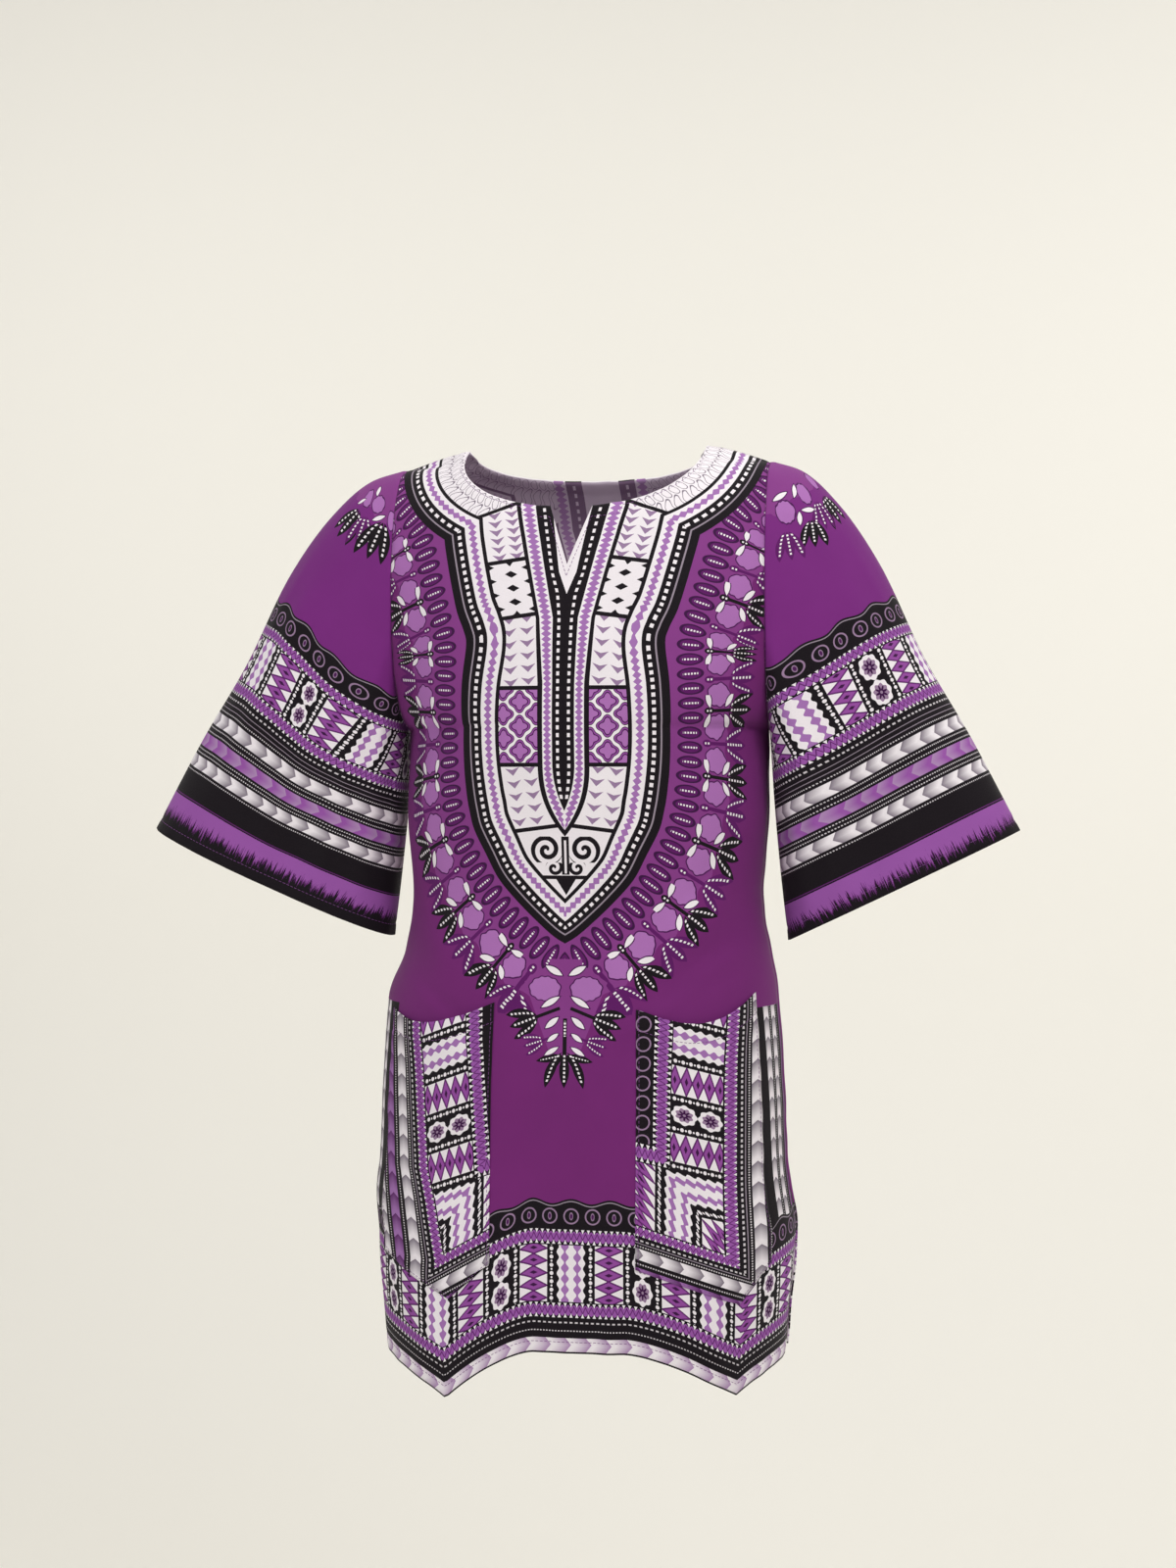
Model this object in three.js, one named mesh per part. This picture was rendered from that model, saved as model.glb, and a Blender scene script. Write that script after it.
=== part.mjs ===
import * as THREE from "three";

// A dashiki tunic dress as it hangs when worn, in millimetres.
// X runs to the wearer's left, the front faces -Y, and Z points up.
// The origin is the middle of the neck, level with the highest points of the shoulder seams.

const wall = 1.5;
const seamGap = 0.3;
const halfSeam = seamGap / 2;

// Neck, shoulders and armholes
const neckHalfWidth = 100;
const neckCurve = 2.25;
const frontNeckDrop = 57;
const backNeckDrop = 20;
const notchHalfWidth = 17;
const notchDepth = 48;
const shoulderX = 152;
const shoulderDrop = 15;
const armpitDrop = 232;
const armholeHalfDepth = 62;
const armholeCurve = 2.2;
const shoulderRoll = 75;

// Each row: height, half width at the side seam, depth of the front and of the back at the middle
const bodyRows = [
  { z: 0, half: 152, front: 62, back: 70 },
  { z: -57, half: 152, front: 78, back: 91 },
  { z: -110, half: 152, front: 97, back: 100 },
  { z: -170, half: 152, front: 112, back: 102 },
  { z: -232, half: 151.5, front: 117, back: 98 },
  { z: -310, half: 150, front: 110, back: 88 },
  { z: -375, half: 146, front: 103, back: 84 },
  { z: -440, half: 157, front: 107, back: 95 },
  { z: -520, half: 163, front: 114, back: 110 },
  { z: -590, half: 166, front: 118, back: 117 },
  { z: -640, half: 173, front: 120, back: 119 },
  { z: -700, half: 168, front: 119, back: 117 },
  { z: -765, half: 162, front: 117, back: 114 },
];

// The right hip stands further out, where the pocket's corner lifts the side seam
const hipSwell = 9;
const hipSwellTop = -415;
const hipSwellFull = -455;
const hipSwellLow = -600;
const hipSwellEnd = -650;

// Side slits, whose edges stand apart, and the hem with its two points
const slitTop = -590;
const slitGape = 15;
const slitReach = 90;
const slitSewn = 20;
const hemMiddle = -720;
const hemPoint = { left: -757, right: -764 };
const hemSide = -738;
const hemFlat = { left: 60, right: 32 };
const hemPointX = { left: 135, right: 99 };

// Each row: how far along X and Z the sleeve's outer edge has come
const sleeveOuter = [
  { x: 152.3, z: -15 },
  { x: 178, z: -24 },
  { x: 207, z: -52 },
  { x: 240, z: -100 },
  { x: 278, z: -176 },
  { x: 318, z: -240 },
  { x: 361, z: -315 },
];
const sleeveInner = [
  { x: 152.3, z: -232 },
  { x: 155, z: -290 },
  { x: 160, z: -350 },
  { x: 166, z: -405 },
];
const cuffHalfDepth = 48;

// The right sleeve stands out further than the left, and swells more above the elbow
const sleeveReach = { left: 0.955, right: 1.06 };
const sleeveSwell = { left: 4, right: 8 };

// Pockets: a pocket covers the front's own columns and rows, so its edges are lines of the front's grid
const pocketTopInner = -452;
const pocketTopSag = 10;
const pocketTopOuter = -440;
const pocketBottomInner = -653;
const pocketBottomPoint = -684;
const pocketBottomOuter = -655;
const pocketLevel = -520;
const pocketLift = wall + seamGap;

// Soft folds. turn is measured from upright, towards +X at the top.
const frontFolds = [
  { x: 118, z: -372, length: 95, width: 15, turn: 38, rise: 6 },
  { x: 96, z: -425, length: 105, width: 17, turn: 52, rise: -4 },
  { x: -120, z: -395, length: 80, width: 15, turn: -30, rise: 4 },
  { x: 60, z: -560, length: 210, width: 20, turn: 3, rise: 4 },
  { x: -28, z: -600, length: 190, width: 20, turn: -3, rise: -3 },
  { x: -118, z: -700, length: 110, width: 16, turn: -8, rise: 5 },
  { x: 122, z: -700, length: 110, width: 16, turn: 8, rise: 5 },
  { x: 128, z: -175, length: 90, width: 13, turn: -12, rise: -4 },
  { x: -128, z: -175, length: 90, width: 13, turn: 12, rise: -4 },
];
const backFolds = [
  { x: 104, z: -380, length: 100, width: 17, turn: 42, rise: 5 },
  { x: -98, z: -368, length: 95, width: 16, turn: -46, rise: 5 },
  { x: 48, z: -600, length: 210, width: 21, turn: 4, rise: 5 },
  { x: -62, z: -590, length: 210, width: 21, turn: -5, rise: 5 },
  { x: 120, z: -170, length: 90, width: 14, turn: -10, rise: -4 },
  { x: -120, z: -170, length: 90, width: 14, turn: 10, rise: -4 },
];
// Each row: where round the sleeve (degrees from the outer edge, front first) and how far down (0 to 1)
const sleeveFolds = [
  { round: 52, down: 0.66, length: 0.42, width: 15, rise: 4 },
  { round: 98, down: 0.8, length: 0.4, width: 15, rise: -4 },
  { round: 138, down: 0.74, length: 0.4, width: 16, rise: 4 },
  { round: 228, down: 0.76, length: 0.4, width: 16, rise: 4 },
  { round: 285, down: 0.72, length: 0.44, width: 17, rise: -4 },
];

// Columns on one half of a panel: X at the top, and the share of the half width below the waist
const columns = [
  { top: 0, low: 0 },
  { top: 9, low: 0.055 },
  { top: notchHalfWidth, low: 0.105 },
  { top: 34, low: 0.22 },
  { top: 51, low: 0.355, edge: "pocket inner" },
  { top: 67, low: 0.46 },
  { top: 82, low: 0.56, edge: "right point" },
  { top: 92, low: 0.66 },
  { top: 97.5, low: 0.735 },
  { top: neckHalfWidth, low: 0.795, edge: "left point" },
  { top: 112, low: 0.855 },
  { top: 126, low: 0.91, edge: "pocket outer" },
  { top: 138, low: 0.955 },
  { top: 147, low: 0.985 },
  { top: shoulderX, low: 1 },
];
const shareOf = (edge) => columns.find((column) => column.edge === edge).low;
const pocketInner = shareOf("pocket inner");
const pocketOuter = shareOf("pocket outer");
const pocketPoint = { left: shareOf("left point"), right: shareOf("right point") };

// Rows above, beside and below the pockets, on both panels, and the sleeve's grid
const rowsAbove = 14;
const rowsBeside = 10;
const rowsBelow = 6;
const sleeveRows = 15;
const sleeveColumns = 28;

const clamp = THREE.MathUtils.clamp;
const mix = THREE.MathUtils.lerp;
const radians = THREE.MathUtils.degToRad;

function ease(start, end, value) {
  const t = clamp((value - start) / (end - start), 0, 1);
  return t * t * (3 - 2 * t);
}

// A smooth curve through rows that fall in z, read at one height
function readRow(rows, key, z) {
  let i = 0;
  while (i < rows.length - 2 && z < rows[i + 1].z) {
    i += 1;
  }
  const before = rows[Math.max(i - 1, 0)];
  const from = rows[i];
  const to = rows[i + 1];
  const after = rows[Math.min(i + 2, rows.length - 1)];
  const span = to.z - from.z;
  const t = clamp((z - from.z) / span, 0, 1);
  const slopeFrom = ((to[key] - before[key]) / (to.z - before.z)) * span;
  const slopeTo = ((after[key] - from[key]) / (after.z - from.z)) * span;
  const t2 = t * t;
  const t3 = t2 * t;
  return (
    (2 * t3 - 3 * t2 + 1) * from[key] +
    (t3 - 2 * t2 + t) * slopeFrom +
    (3 * t2 - 2 * t3) * to[key] +
    (t3 - t2) * slopeTo
  );
}

function superellipse(t, power) {
  return Math.pow(Math.max(1 - Math.pow(Math.abs(t), power), 0), 1 / power);
}

function shoulderHeight(x) {
  const along = clamp((Math.abs(x) - neckHalfWidth) / (shoulderX - neckHalfWidth), 0, 1);
  return -shoulderDrop * Math.pow(along, 1.3);
}

function armholeDepth(z) {
  const middle = -(shoulderDrop + armpitDrop) / 2;
  const half = (armpitDrop - shoulderDrop) / 2;
  return armholeHalfDepth * superellipse((z - middle) / half, armholeCurve);
}

function topEdge(x, panel) {
  if (Math.abs(x) >= neckHalfWidth) {
    return shoulderHeight(x);
  }
  const scoop = -panel.neckDrop * superellipse(x / neckHalfWidth, neckCurve);
  const notch = panel.notch * Math.max(1 - Math.abs(x) / notchHalfWidth, 0);
  return scoop - notch;
}

function hemHeight(x, half) {
  const side = x > 0 ? "left" : "right";
  const out = Math.abs(x);
  if (out < hemPointX[side]) {
    const t = clamp((out - hemFlat[side]) / (hemPointX[side] - hemFlat[side]), 0, 1);
    return mix(hemMiddle, hemPoint[side], Math.pow(t, 1.25));
  }
  const t = clamp((out - hemPointX[side]) / (half - hemPointX[side]), 0, 1);
  return mix(hemPoint[side], hemSide, Math.pow(t, 0.8));
}

function foldRise(folds, x, z) {
  let rise = 0;
  for (const fold of folds) {
    const turn = radians(fold.turn);
    const dx = x - fold.x;
    const dz = z - fold.z;
    const across = (dx * Math.cos(turn) - dz * Math.sin(turn)) / fold.width;
    const along = (dx * Math.sin(turn) + dz * Math.cos(turn)) / (fold.length / 2);
    rise += fold.rise * Math.exp(-across * across) * Math.exp(-Math.pow(along, 4));
  }
  return rise;
}

const frontPanel = { way: -1, depth: "front", neckDrop: frontNeckDrop, notch: notchDepth, folds: frontFolds };
const backPanel = { way: 1, depth: "back", neckDrop: backNeckDrop, notch: 0, folds: backFolds };

// The outer face of a panel at a share of its half width (-1 to 1) and a height
function panelPoint(panel, share, z) {
  const half = readRow(bodyRows, "half", z);
  const swell = hipSwell * ease(hipSwellTop, hipSwellFull, z) * (1 - ease(hipSwellLow, hipSwellEnd, z));
  const x = share * (half + (share < 0 ? swell * share * share : 0));
  const lower = ease(-190, -310, z);
  const full = mix(3, 2.4, lower);
  const round = mix(1, 0.5, lower);
  const bow = Math.pow(Math.max(1 - Math.pow(Math.abs(share), full), 0), round);
  const drop = clamp((shoulderHeight(x) - z) / shoulderRoll, 0, 1);
  const roll = Math.sqrt(1 - (1 - drop) * (1 - drop));
  const edge = armholeDepth(z);
  const gape = slitGape * Math.pow(clamp((slitTop - z) / slitReach, 0, 1), 1.4);
  const middle = readRow(bodyRows, panel.depth, z) * roll + foldRise(panel.folds, x, z);
  const depth = Math.max(edge, gape) + (middle - Math.max(edge, gape)) * bow;
  return new THREE.Vector3(x, panel.way * (depth + halfSeam), z);
}

// Inner columns keep their distance from the middle where the skirt widens
function columnShare(column, z) {
  const out = Math.abs(column.low);
  const upright = readRow(bodyRows, "half", pocketLevel) / readRow(bodyRows, "half", z);
  const kept = mix(column.low * upright, column.low, ease(pocketInner, pocketPoint.left, out));
  const low = z < pocketLevel ? kept : column.low;
  return mix(column.top / shoulderX, low, ease(-160, -330, z));
}

// The heights of a pocket's top and bottom edge at a share of the half width, level past its sides
function pocketTop(share) {
  const across = clamp((Math.abs(share) - pocketInner) / (pocketOuter - pocketInner), 0, 1);
  return mix(pocketTopInner, pocketTopOuter, Math.pow(across, 3)) - pocketTopSag * Math.sin(Math.PI * across);
}

function pocketBottom(share) {
  const point = share > 0 ? pocketPoint.left : pocketPoint.right;
  const out = Math.abs(share);
  if (out < point) {
    const inward = clamp((out - pocketInner) / (point - pocketInner), 0, 1);
    return mix(pocketBottomInner, pocketBottomPoint, inward);
  }
  const outward = clamp((out - point) / (pocketOuter - point), 0, 1);
  return mix(pocketBottomPoint, pocketBottomOuter, outward);
}

// Heights down one column, from its top edge to the hem
function columnHeights(top, share) {
  const half = readRow(bodyRows, "half", hemMiddle);
  const stops = [
    { from: top, to: pocketTop(share), rows: rowsAbove, spread: 1.3 },
    { from: pocketTop(share), to: pocketBottom(share), rows: rowsBeside, spread: 1 },
    { from: pocketBottom(share), to: hemHeight(share * half, half), rows: rowsBelow, spread: 1 },
  ];
  const heights = [top];
  for (const stop of stops) {
    for (let i = 1; i <= stop.rows; i += 1) {
      heights.push(mix(stop.from, stop.to, Math.pow(i / stop.rows, stop.spread)));
    }
  }
  return heights;
}

// Columns run from -X to +X on the front, and the other way on the back, so that both face outwards
function panelGrid(panel) {
  const mirrored = columns.slice(1).reverse().map((column) => ({ top: -column.top, low: -column.low }));
  const all = [...mirrored, ...columns];
  const grid = all.map((column) =>
    columnHeights(topEdge(column.top, panel), column.low).map((z) =>
      panelPoint(panel, columnShare(column, z), z)
    )
  );
  return panel.way < 0 ? grid : grid.reverse();
}

function alongRows(rows, t) {
  const curve = new THREE.CatmullRomCurve3(rows.map((row) => new THREE.Vector3(row.x, 0, row.z)));
  return curve.getPoint(t);
}

// The outer face of a sleeve, drawn on the +X side: round is 0 at the outer edge and turns to the front
function sleevePoint(side, round, down) {
  const outer = alongRows(sleeveOuter, down);
  const inner = alongRows(sleeveInner, down);
  outer.x = sleeveOuter[0].x + (outer.x - sleeveOuter[0].x) * sleeveReach[side];
  outer.x += sleeveSwell[side] * Math.sin(Math.PI * down);
  const power = 2 / armholeCurve;
  const across = Math.sign(Math.cos(round)) * Math.pow(Math.abs(Math.cos(round)), power);
  const deep = Math.sign(Math.sin(round)) * Math.pow(Math.abs(Math.sin(round)), power);
  let rise = 0;
  for (const fold of sleeveFolds) {
    const turn = radians(fold.round) - round;
    const reach = (turn * 85) / fold.width;
    const along = (down - fold.down) / (fold.length / 2);
    rise += fold.rise * Math.exp(-reach * reach) * Math.exp(-Math.pow(along, 4));
  }
  const point = outer.clone().add(inner).multiplyScalar(0.5);
  point.addScaledVector(outer.clone().sub(inner), across / 2);
  point.y = -deep * (mix(armholeHalfDepth, cuffHalfDepth, down) + rise);
  return point;
}

function sleeveGrid(side) {
  const way = side === "left" ? 1 : -1;
  const grid = [];
  for (let i = 0; i < sleeveColumns; i += 1) {
    const round = (i / sleeveColumns) * 2 * Math.PI;
    const line = [];
    for (let j = 0; j <= sleeveRows; j += 1) {
      const point = sleevePoint(side, round, Math.pow(j / sleeveRows, 1.1));
      point.x *= way;
      line.push(point);
    }
    grid.push(line);
  }
  return way > 0 ? grid.reverse() : grid;
}

// The stretch of the front's grid that a pocket covers
function pocketPart(grid, side) {
  const first = columns.findIndex((column) => column.edge === "pocket inner");
  const last = columns.findIndex((column) => column.edge === "pocket outer");
  const middle = columns.length - 1;
  const from = side > 0 ? middle + first : middle - last;
  const to = side > 0 ? middle + last : middle - first;
  return grid.slice(from, to + 1).map((line) => line.slice(rowsAbove, rowsAbove + rowsBeside + 1));
}

function gridNormals(grid, closed) {
  const count = grid.length;
  return grid.map((line, i) =>
    line.map((point, j) => {
      const left = closed ? grid[(i + count - 1) % count][j] : grid[Math.max(i - 1, 0)][j];
      const right = closed ? grid[(i + 1) % count][j] : grid[Math.min(i + 1, count - 1)][j];
      const up = line[Math.max(j - 1, 0)];
      const down = line[Math.min(j + 1, line.length - 1)];
      const across = right.clone().sub(left);
      return down.clone().sub(up).cross(across).normalize();
    })
  );
}

function moved(grid, normals, distance) {
  return grid.map((line, i) => line.map((point, j) => point.clone().addScaledVector(normals[i][j], distance)));
}

// Keeps the wall at a seam square to the seam's plane, so that neighbours stay the seam's gap apart
function flatten(normals, axis, pick) {
  normals.forEach((line, i) => {
    line.forEach((normal, j) => {
      if (pick(i, j)) {
        normal[axis] = 0;
        normal.normalize();
      }
    });
  });
}

// A closed wall between an outer and an inner grid
function wallMesh(name, outer, inner, closed, material) {
  const columns = outer.length;
  const rows = outer[0].length;
  const positions = [];
  const index = [];
  for (const grid of [outer, inner]) {
    for (const line of grid) {
      for (const point of line) {
        positions.push(point.x, point.y, point.z);
      }
    }
  }
  const at = (layer, i, j) => layer * columns * rows + (i % columns) * rows + j;
  const length = (a, b) => Math.hypot(...[0, 1, 2].map((k) => positions[3 * a + k] - positions[3 * b + k]));
  const quad = (a, b, c, d) => {
    if (length(a, c) <= length(b, d)) {
      index.push(a, b, c, a, c, d);
    } else {
      index.push(b, c, d, b, d, a);
    }
  };
  const lastColumn = closed ? columns : columns - 1;
  for (let i = 0; i < lastColumn; i += 1) {
    for (let j = 0; j < rows - 1; j += 1) {
      quad(at(0, i, j), at(0, i, j + 1), at(0, i + 1, j + 1), at(0, i + 1, j));
      quad(at(1, i, j), at(1, i + 1, j), at(1, i + 1, j + 1), at(1, i, j + 1));
    }
    quad(at(0, i, 0), at(0, i + 1, 0), at(1, i + 1, 0), at(1, i, 0));
    quad(at(0, i, rows - 1), at(1, i, rows - 1), at(1, i + 1, rows - 1), at(0, i + 1, rows - 1));
  }
  if (!closed) {
    for (let j = 0; j < rows - 1; j += 1) {
      quad(at(0, 0, j), at(1, 0, j), at(1, 0, j + 1), at(0, 0, j + 1));
      quad(at(0, columns - 1, j), at(0, columns - 1, j + 1), at(1, columns - 1, j + 1), at(1, columns - 1, j));
    }
  }
  const geometry = new THREE.BufferGeometry();
  geometry.setAttribute("position", new THREE.Float32BufferAttribute(positions, 3));
  geometry.setIndex(index);
  geometry.computeVertexNormals();
  const mesh = new THREE.Mesh(geometry, material);
  mesh.name = name;
  return mesh;
}

function cloth(color) {
  return new THREE.MeshStandardMaterial({ color, roughness: 0.85, metalness: 0 });
}

const purple = 0x6e2a78;
const darkPurple = 0x3a1740;
const paleBorder = 0x8a6a92;

function panelMesh(name, panel) {
  const outer = panelGrid(panel);
  const normals = gridNormals(outer, false);
  const last = outer.length - 1;
  const atSide = (i) => i === 0 || i === last;
  const aboveArmpit = (i, j) => outer[i][j].z > -armpitDrop;
  const aboveSlit = (i, j) => outer[i][j].z > slitTop - slitSewn;
  flatten(normals, "x", (i, j) => atSide(i) && aboveArmpit(i, j));
  flatten(normals, "y", (i, j) => atSide(i) && !aboveArmpit(i, j) && aboveSlit(i, j));
  flatten(normals, "y", (i, j) => j === 0 && Math.abs(outer[i][j].x) >= neckHalfWidth - halfSeam);
  return wallMesh(name, outer, moved(outer, normals, -wall), false, cloth(purple));
}

function sleeveMesh(name, side) {
  const outer = sleeveGrid(side);
  const normals = gridNormals(outer, true);
  flatten(normals, "x", (i, j) => j === 0);
  return wallMesh(name, outer, moved(outer, normals, -wall), true, cloth(darkPurple));
}

function pocketMesh(name, side) {
  const grid = panelGrid(frontPanel);
  const base = pocketPart(grid, side);
  const normals = pocketPart(gridNormals(grid, false), side);
  const outer = moved(base, normals, pocketLift);
  const inner = moved(base, normals, seamGap);
  return wallMesh(name, outer, inner, false, cloth(paleBorder));
}

const tunic = new THREE.Group();
tunic.name = "dashiki_tunic_dress";
tunic.add(panelMesh("front", frontPanel));
tunic.add(panelMesh("back", backPanel));
tunic.add(sleeveMesh("sleeve_left", "left"));
tunic.add(sleeveMesh("sleeve_right", "right"));
tunic.add(pocketMesh("pocket_left", 1));
tunic.add(pocketMesh("pocket_right", -1));

export default tunic;
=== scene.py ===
"""Looks of a printed cotton dashiki tunic dress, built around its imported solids.

Lengths are in millimetres until a mesh or a shader is made. X runs to the wearer's left, the
front faces -Y, and Z points up. The origin is the middle of the neck, at the shoulders' height.
"""
import math

import bpy
import numpy as np
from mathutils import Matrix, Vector


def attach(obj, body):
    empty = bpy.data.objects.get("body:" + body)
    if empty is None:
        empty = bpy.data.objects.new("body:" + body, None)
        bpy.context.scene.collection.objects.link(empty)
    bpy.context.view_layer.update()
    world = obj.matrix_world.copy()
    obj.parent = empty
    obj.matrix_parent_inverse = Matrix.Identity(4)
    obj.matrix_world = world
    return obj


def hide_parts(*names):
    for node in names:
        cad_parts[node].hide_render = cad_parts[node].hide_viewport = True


MM = 0.001

# Body: heights, half widths and depths, the same as the solids'
NECK_HALF = 100.0
NECK_CURVE = 2.25
NOTCH_HALF = 17.0
NOTCH_DEPTH = 48.0
SHOULDER_X = 152.0
SHOULDER_DROP = 15.0
ARMPIT_DROP = 232.0
ARMHOLE_DEPTH = 62.0
ARMHOLE_CURVE = 2.2
SHOULDER_ROLL = 75.0
BODY_ROWS = np.array([
    # height, half width, depth of the front, depth of the back
    (0, 152, 62, 70),
    (-57, 152, 78, 91),
    (-110, 152, 97, 100),
    (-170, 152, 112, 102),
    (-232, 151.5, 117, 98),
    (-310, 150, 110, 88),
    (-375, 146, 103, 84),
    (-440, 157, 107, 95),
    (-520, 163, 114, 110),
    (-590, 166, 118, 117),
    (-640, 173, 120, 119),
    (-700, 168, 119, 117),
    (-765, 162, 117, 114),
])
HIP_SWELL = 9.0
SLIT_TOP = -590.0
SLIT_GAPE = 15.0
SLIT_REACH = 90.0
SLIT_SEWN = 20.0
HEM_MIDDLE = -720.0
HEM_POINT = {1: -757.0, -1: -764.0}
HEM_SIDE = -738.0
HEM_FLAT = {1: 60.0, -1: 32.0}
HEM_POINT_X = {1: 135.0, -1: 99.0}
PANEL = {
    "front": {"way": -1, "depth": 2, "drop": 57.0, "notch": NOTCH_DEPTH},
    "back": {"way": 1, "depth": 3, "drop": 20.0, "notch": 0.0},
}

# Columns over one half of a panel: X at the top, and the share of the half width lower down
COLUMNS = np.array([
    (0, 0), (9, 0.055), (17, 0.105), (34, 0.22), (51, 0.355), (67, 0.46), (82, 0.56), (92, 0.66),
    (97.5, 0.735), (100, 0.795), (112, 0.855), (126, 0.91), (138, 0.955), (147, 0.985), (152, 1),
])
POCKET_INNER = 0.355
POCKET_OUTER = 0.91
POCKET_POINT = {1: 0.795, -1: 0.56}
POCKET_LEVEL = -520.0

# Sleeves: where the outer and the inner edge run, drawn on the +X side
SLEEVE_OUTER = [(152.3, -15), (178, -24), (207, -52), (240, -100), (278, -176), (318, -240), (361, -315)]
SLEEVE_INNER = [(152.3, -232), (155, -290), (160, -350), (166, -405)]
CUFF_HALF_DEPTH = 48.0
SLEEVE_REACH = {1: 0.955, -1: 1.06}
SLEEVE_SWELL = {1: 4.0, -1: 8.0}

# Folds: x, z, length, width, turn from upright in degrees, rise. The first rows are the solids' own.
FOLDS = {
    "front": [
        (118, -372, 95, 15, 38, 6),
        (96, -425, 105, 17, 52, -4),
        (-120, -395, 80, 15, -30, 4),
        (60, -560, 210, 20, 3, 4),
        (-28, -600, 190, 20, -3, -3),
        (-118, -700, 110, 16, -8, 5),
        (122, -700, 110, 16, 8, 5),
        (128, -175, 90, 13, -12, -4),
        (-128, -175, 90, 13, 12, -4),
    ],
    "back": [
        (104, -380, 100, 17, 42, 5),
        (-98, -368, 95, 16, -46, 5),
        (48, -600, 210, 21, 4, 5),
        (-62, -590, 210, 21, -5, 5),
        (120, -170, 90, 14, -10, -4),
        (-120, -170, 90, 14, 10, -4),
    ],
}
CREASES = {
    "front": [
        (136, -318, 90, 8, 30, 2.6),
        (122, -330, 84, 7, 34, -2.2),
        (134, -412, 70, 7, 62, 2.2),
        (112, -440, 80, 7, 58, -1.8),
        (80, -455, 90, 9, 66, 1.8),
        (140, -470, 60, 7, 40, -1.8),
        (-138, -330, 84, 8, -26, 2.2),
        (-124, -352, 80, 7, -34, -1.8),
        (-132, -440, 66, 7, -55, 1.8),
        (-104, -452, 76, 8, -62, -1.4),
        (140, -120, 80, 6, 6, 1.8),
        (-140, -128, 84, 6, -8, 2.0),
        (126, -232, 70, 7, 24, 1.8),
        (-126, -240, 74, 7, -22, 1.6),
        (22, -500, 120, 12, 6, 1.4),
        (-40, -520, 120, 13, -5, 1.2),
        (8, -640, 120, 13, 4, -1.6),
        (36, -690, 70, 9, -5, 1.8),
        (-52, -700, 70, 9, 8, 1.8),
        (0, -240, 150, 30, 0, 1.2),
        (30, -700, 46, 6, 22, -1.2),
        (-6, -694, 50, 7, -12, 1.0),
    ],
    "back": [
        (132, -330, 90, 8, 34, 2.4),
        (-130, -322, 96, 8, -30, 2.4),
        (116, -410, 78, 8, 56, -2.0),
        (-118, -402, 84, 8, -58, -2.2),
        (84, -350, 110, 10, 30, 1.8),
        (-76, -356, 110, 10, -33, 1.8),
        (138, -120, 84, 6, 8, 1.8),
        (-138, -124, 84, 6, -6, 1.8),
        (12, -440, 130, 14, 10, 1.6),
        (-24, -470, 120, 13, -12, 1.4),
        (96, -520, 110, 11, 12, 1.8),
        (-104, -530, 110, 11, -10, 1.8),
        (2, -640, 150, 16, 2, -2.0),
        (104, -690, 90, 11, 8, 2.0),
        (-96, -690, 90, 11, -6, 2.2),
        (20, -700, 60, 9, -8, 1.6),
        (-30, -700, 60, 9, 10, 1.4),
        (30, -36, 60, 12, 70, 1.2),
    ],
}
# Sleeve folds: degrees round from the outer edge (front first), share of the way down, length, width, rise
SLEEVE_FOLDS = [
    (52, 0.66, 0.42, 15, 4),
    (98, 0.80, 0.40, 15, -4),
    (138, 0.74, 0.40, 16, 4),
    (228, 0.76, 0.40, 16, 4),
    (285, 0.72, 0.44, 17, -4),
]
SLEEVE_CREASES = {
    1: [
        (30, 0.55, 0.40, 8, 1.8), (74, 0.72, 0.46, 8, -2.0), (118, 0.60, 0.50, 8, 2.2),
        (152, 0.40, 0.44, 8, -2.0), (122, 0.22, 0.36, 9, 2.0), (60, 0.20, 0.30, 10, -1.4),
        (205, 0.44, 0.50, 9, 2.2), (250, 0.62, 0.50, 9, 2.0), (310, 0.50, 0.40, 9, -1.8),
        (236, 0.20, 0.34, 9, -1.8), (335, 0.82, 0.30, 8, 1.4),
        (148, 0.34, 0.56, 14, -7.0), (112, 0.32, 0.60, 14, 3.4), (214, 0.34, 0.50, 14, -5.0),
    ],
    -1: [
        (34, 0.58, 0.44, 8, 2.0), (80, 0.64, 0.50, 8, -2.0), (112, 0.70, 0.40, 8, 2.0),
        (148, 0.46, 0.50, 8, -2.2), (128, 0.24, 0.34, 9, 2.0), (66, 0.26, 0.30, 10, -1.4),
        (212, 0.50, 0.50, 9, 2.2), (246, 0.66, 0.46, 9, 2.0), (300, 0.46, 0.44, 9, -1.8),
        (228, 0.22, 0.34, 9, -1.8), (340, 0.80, 0.34, 8, 1.4),
        (146, 0.34, 0.52, 13, -6.0), (110, 0.34, 0.56, 13, 3.0), (216, 0.32, 0.50, 14, -5.0),
    ],
}

# Cloth
CLOTH = 0.7
HEM_WIDTH = 11.0
HEM_EXTRA = 0.6
HEM_STEP = 1.5
STITCH_INSET = 2.2
GROOVE_DEPTH = 0.5
GROOVE_REACH = 1.3
SEAM_DEPTH = 0.9
SEAM_REACH = 2.6
PULL_HEIGHT = 0.35
PULL_REACH = 16
WARP_PITCH = 0.62
WEFT_PITCH = 0.66
POCKET_LIFT = 1.0
POCKET_GAPE = 3.2
STITCH_LENGTH = 2.5
STITCH_PITCH = 3.5
STITCH_RADIUS = 0.24

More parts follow.
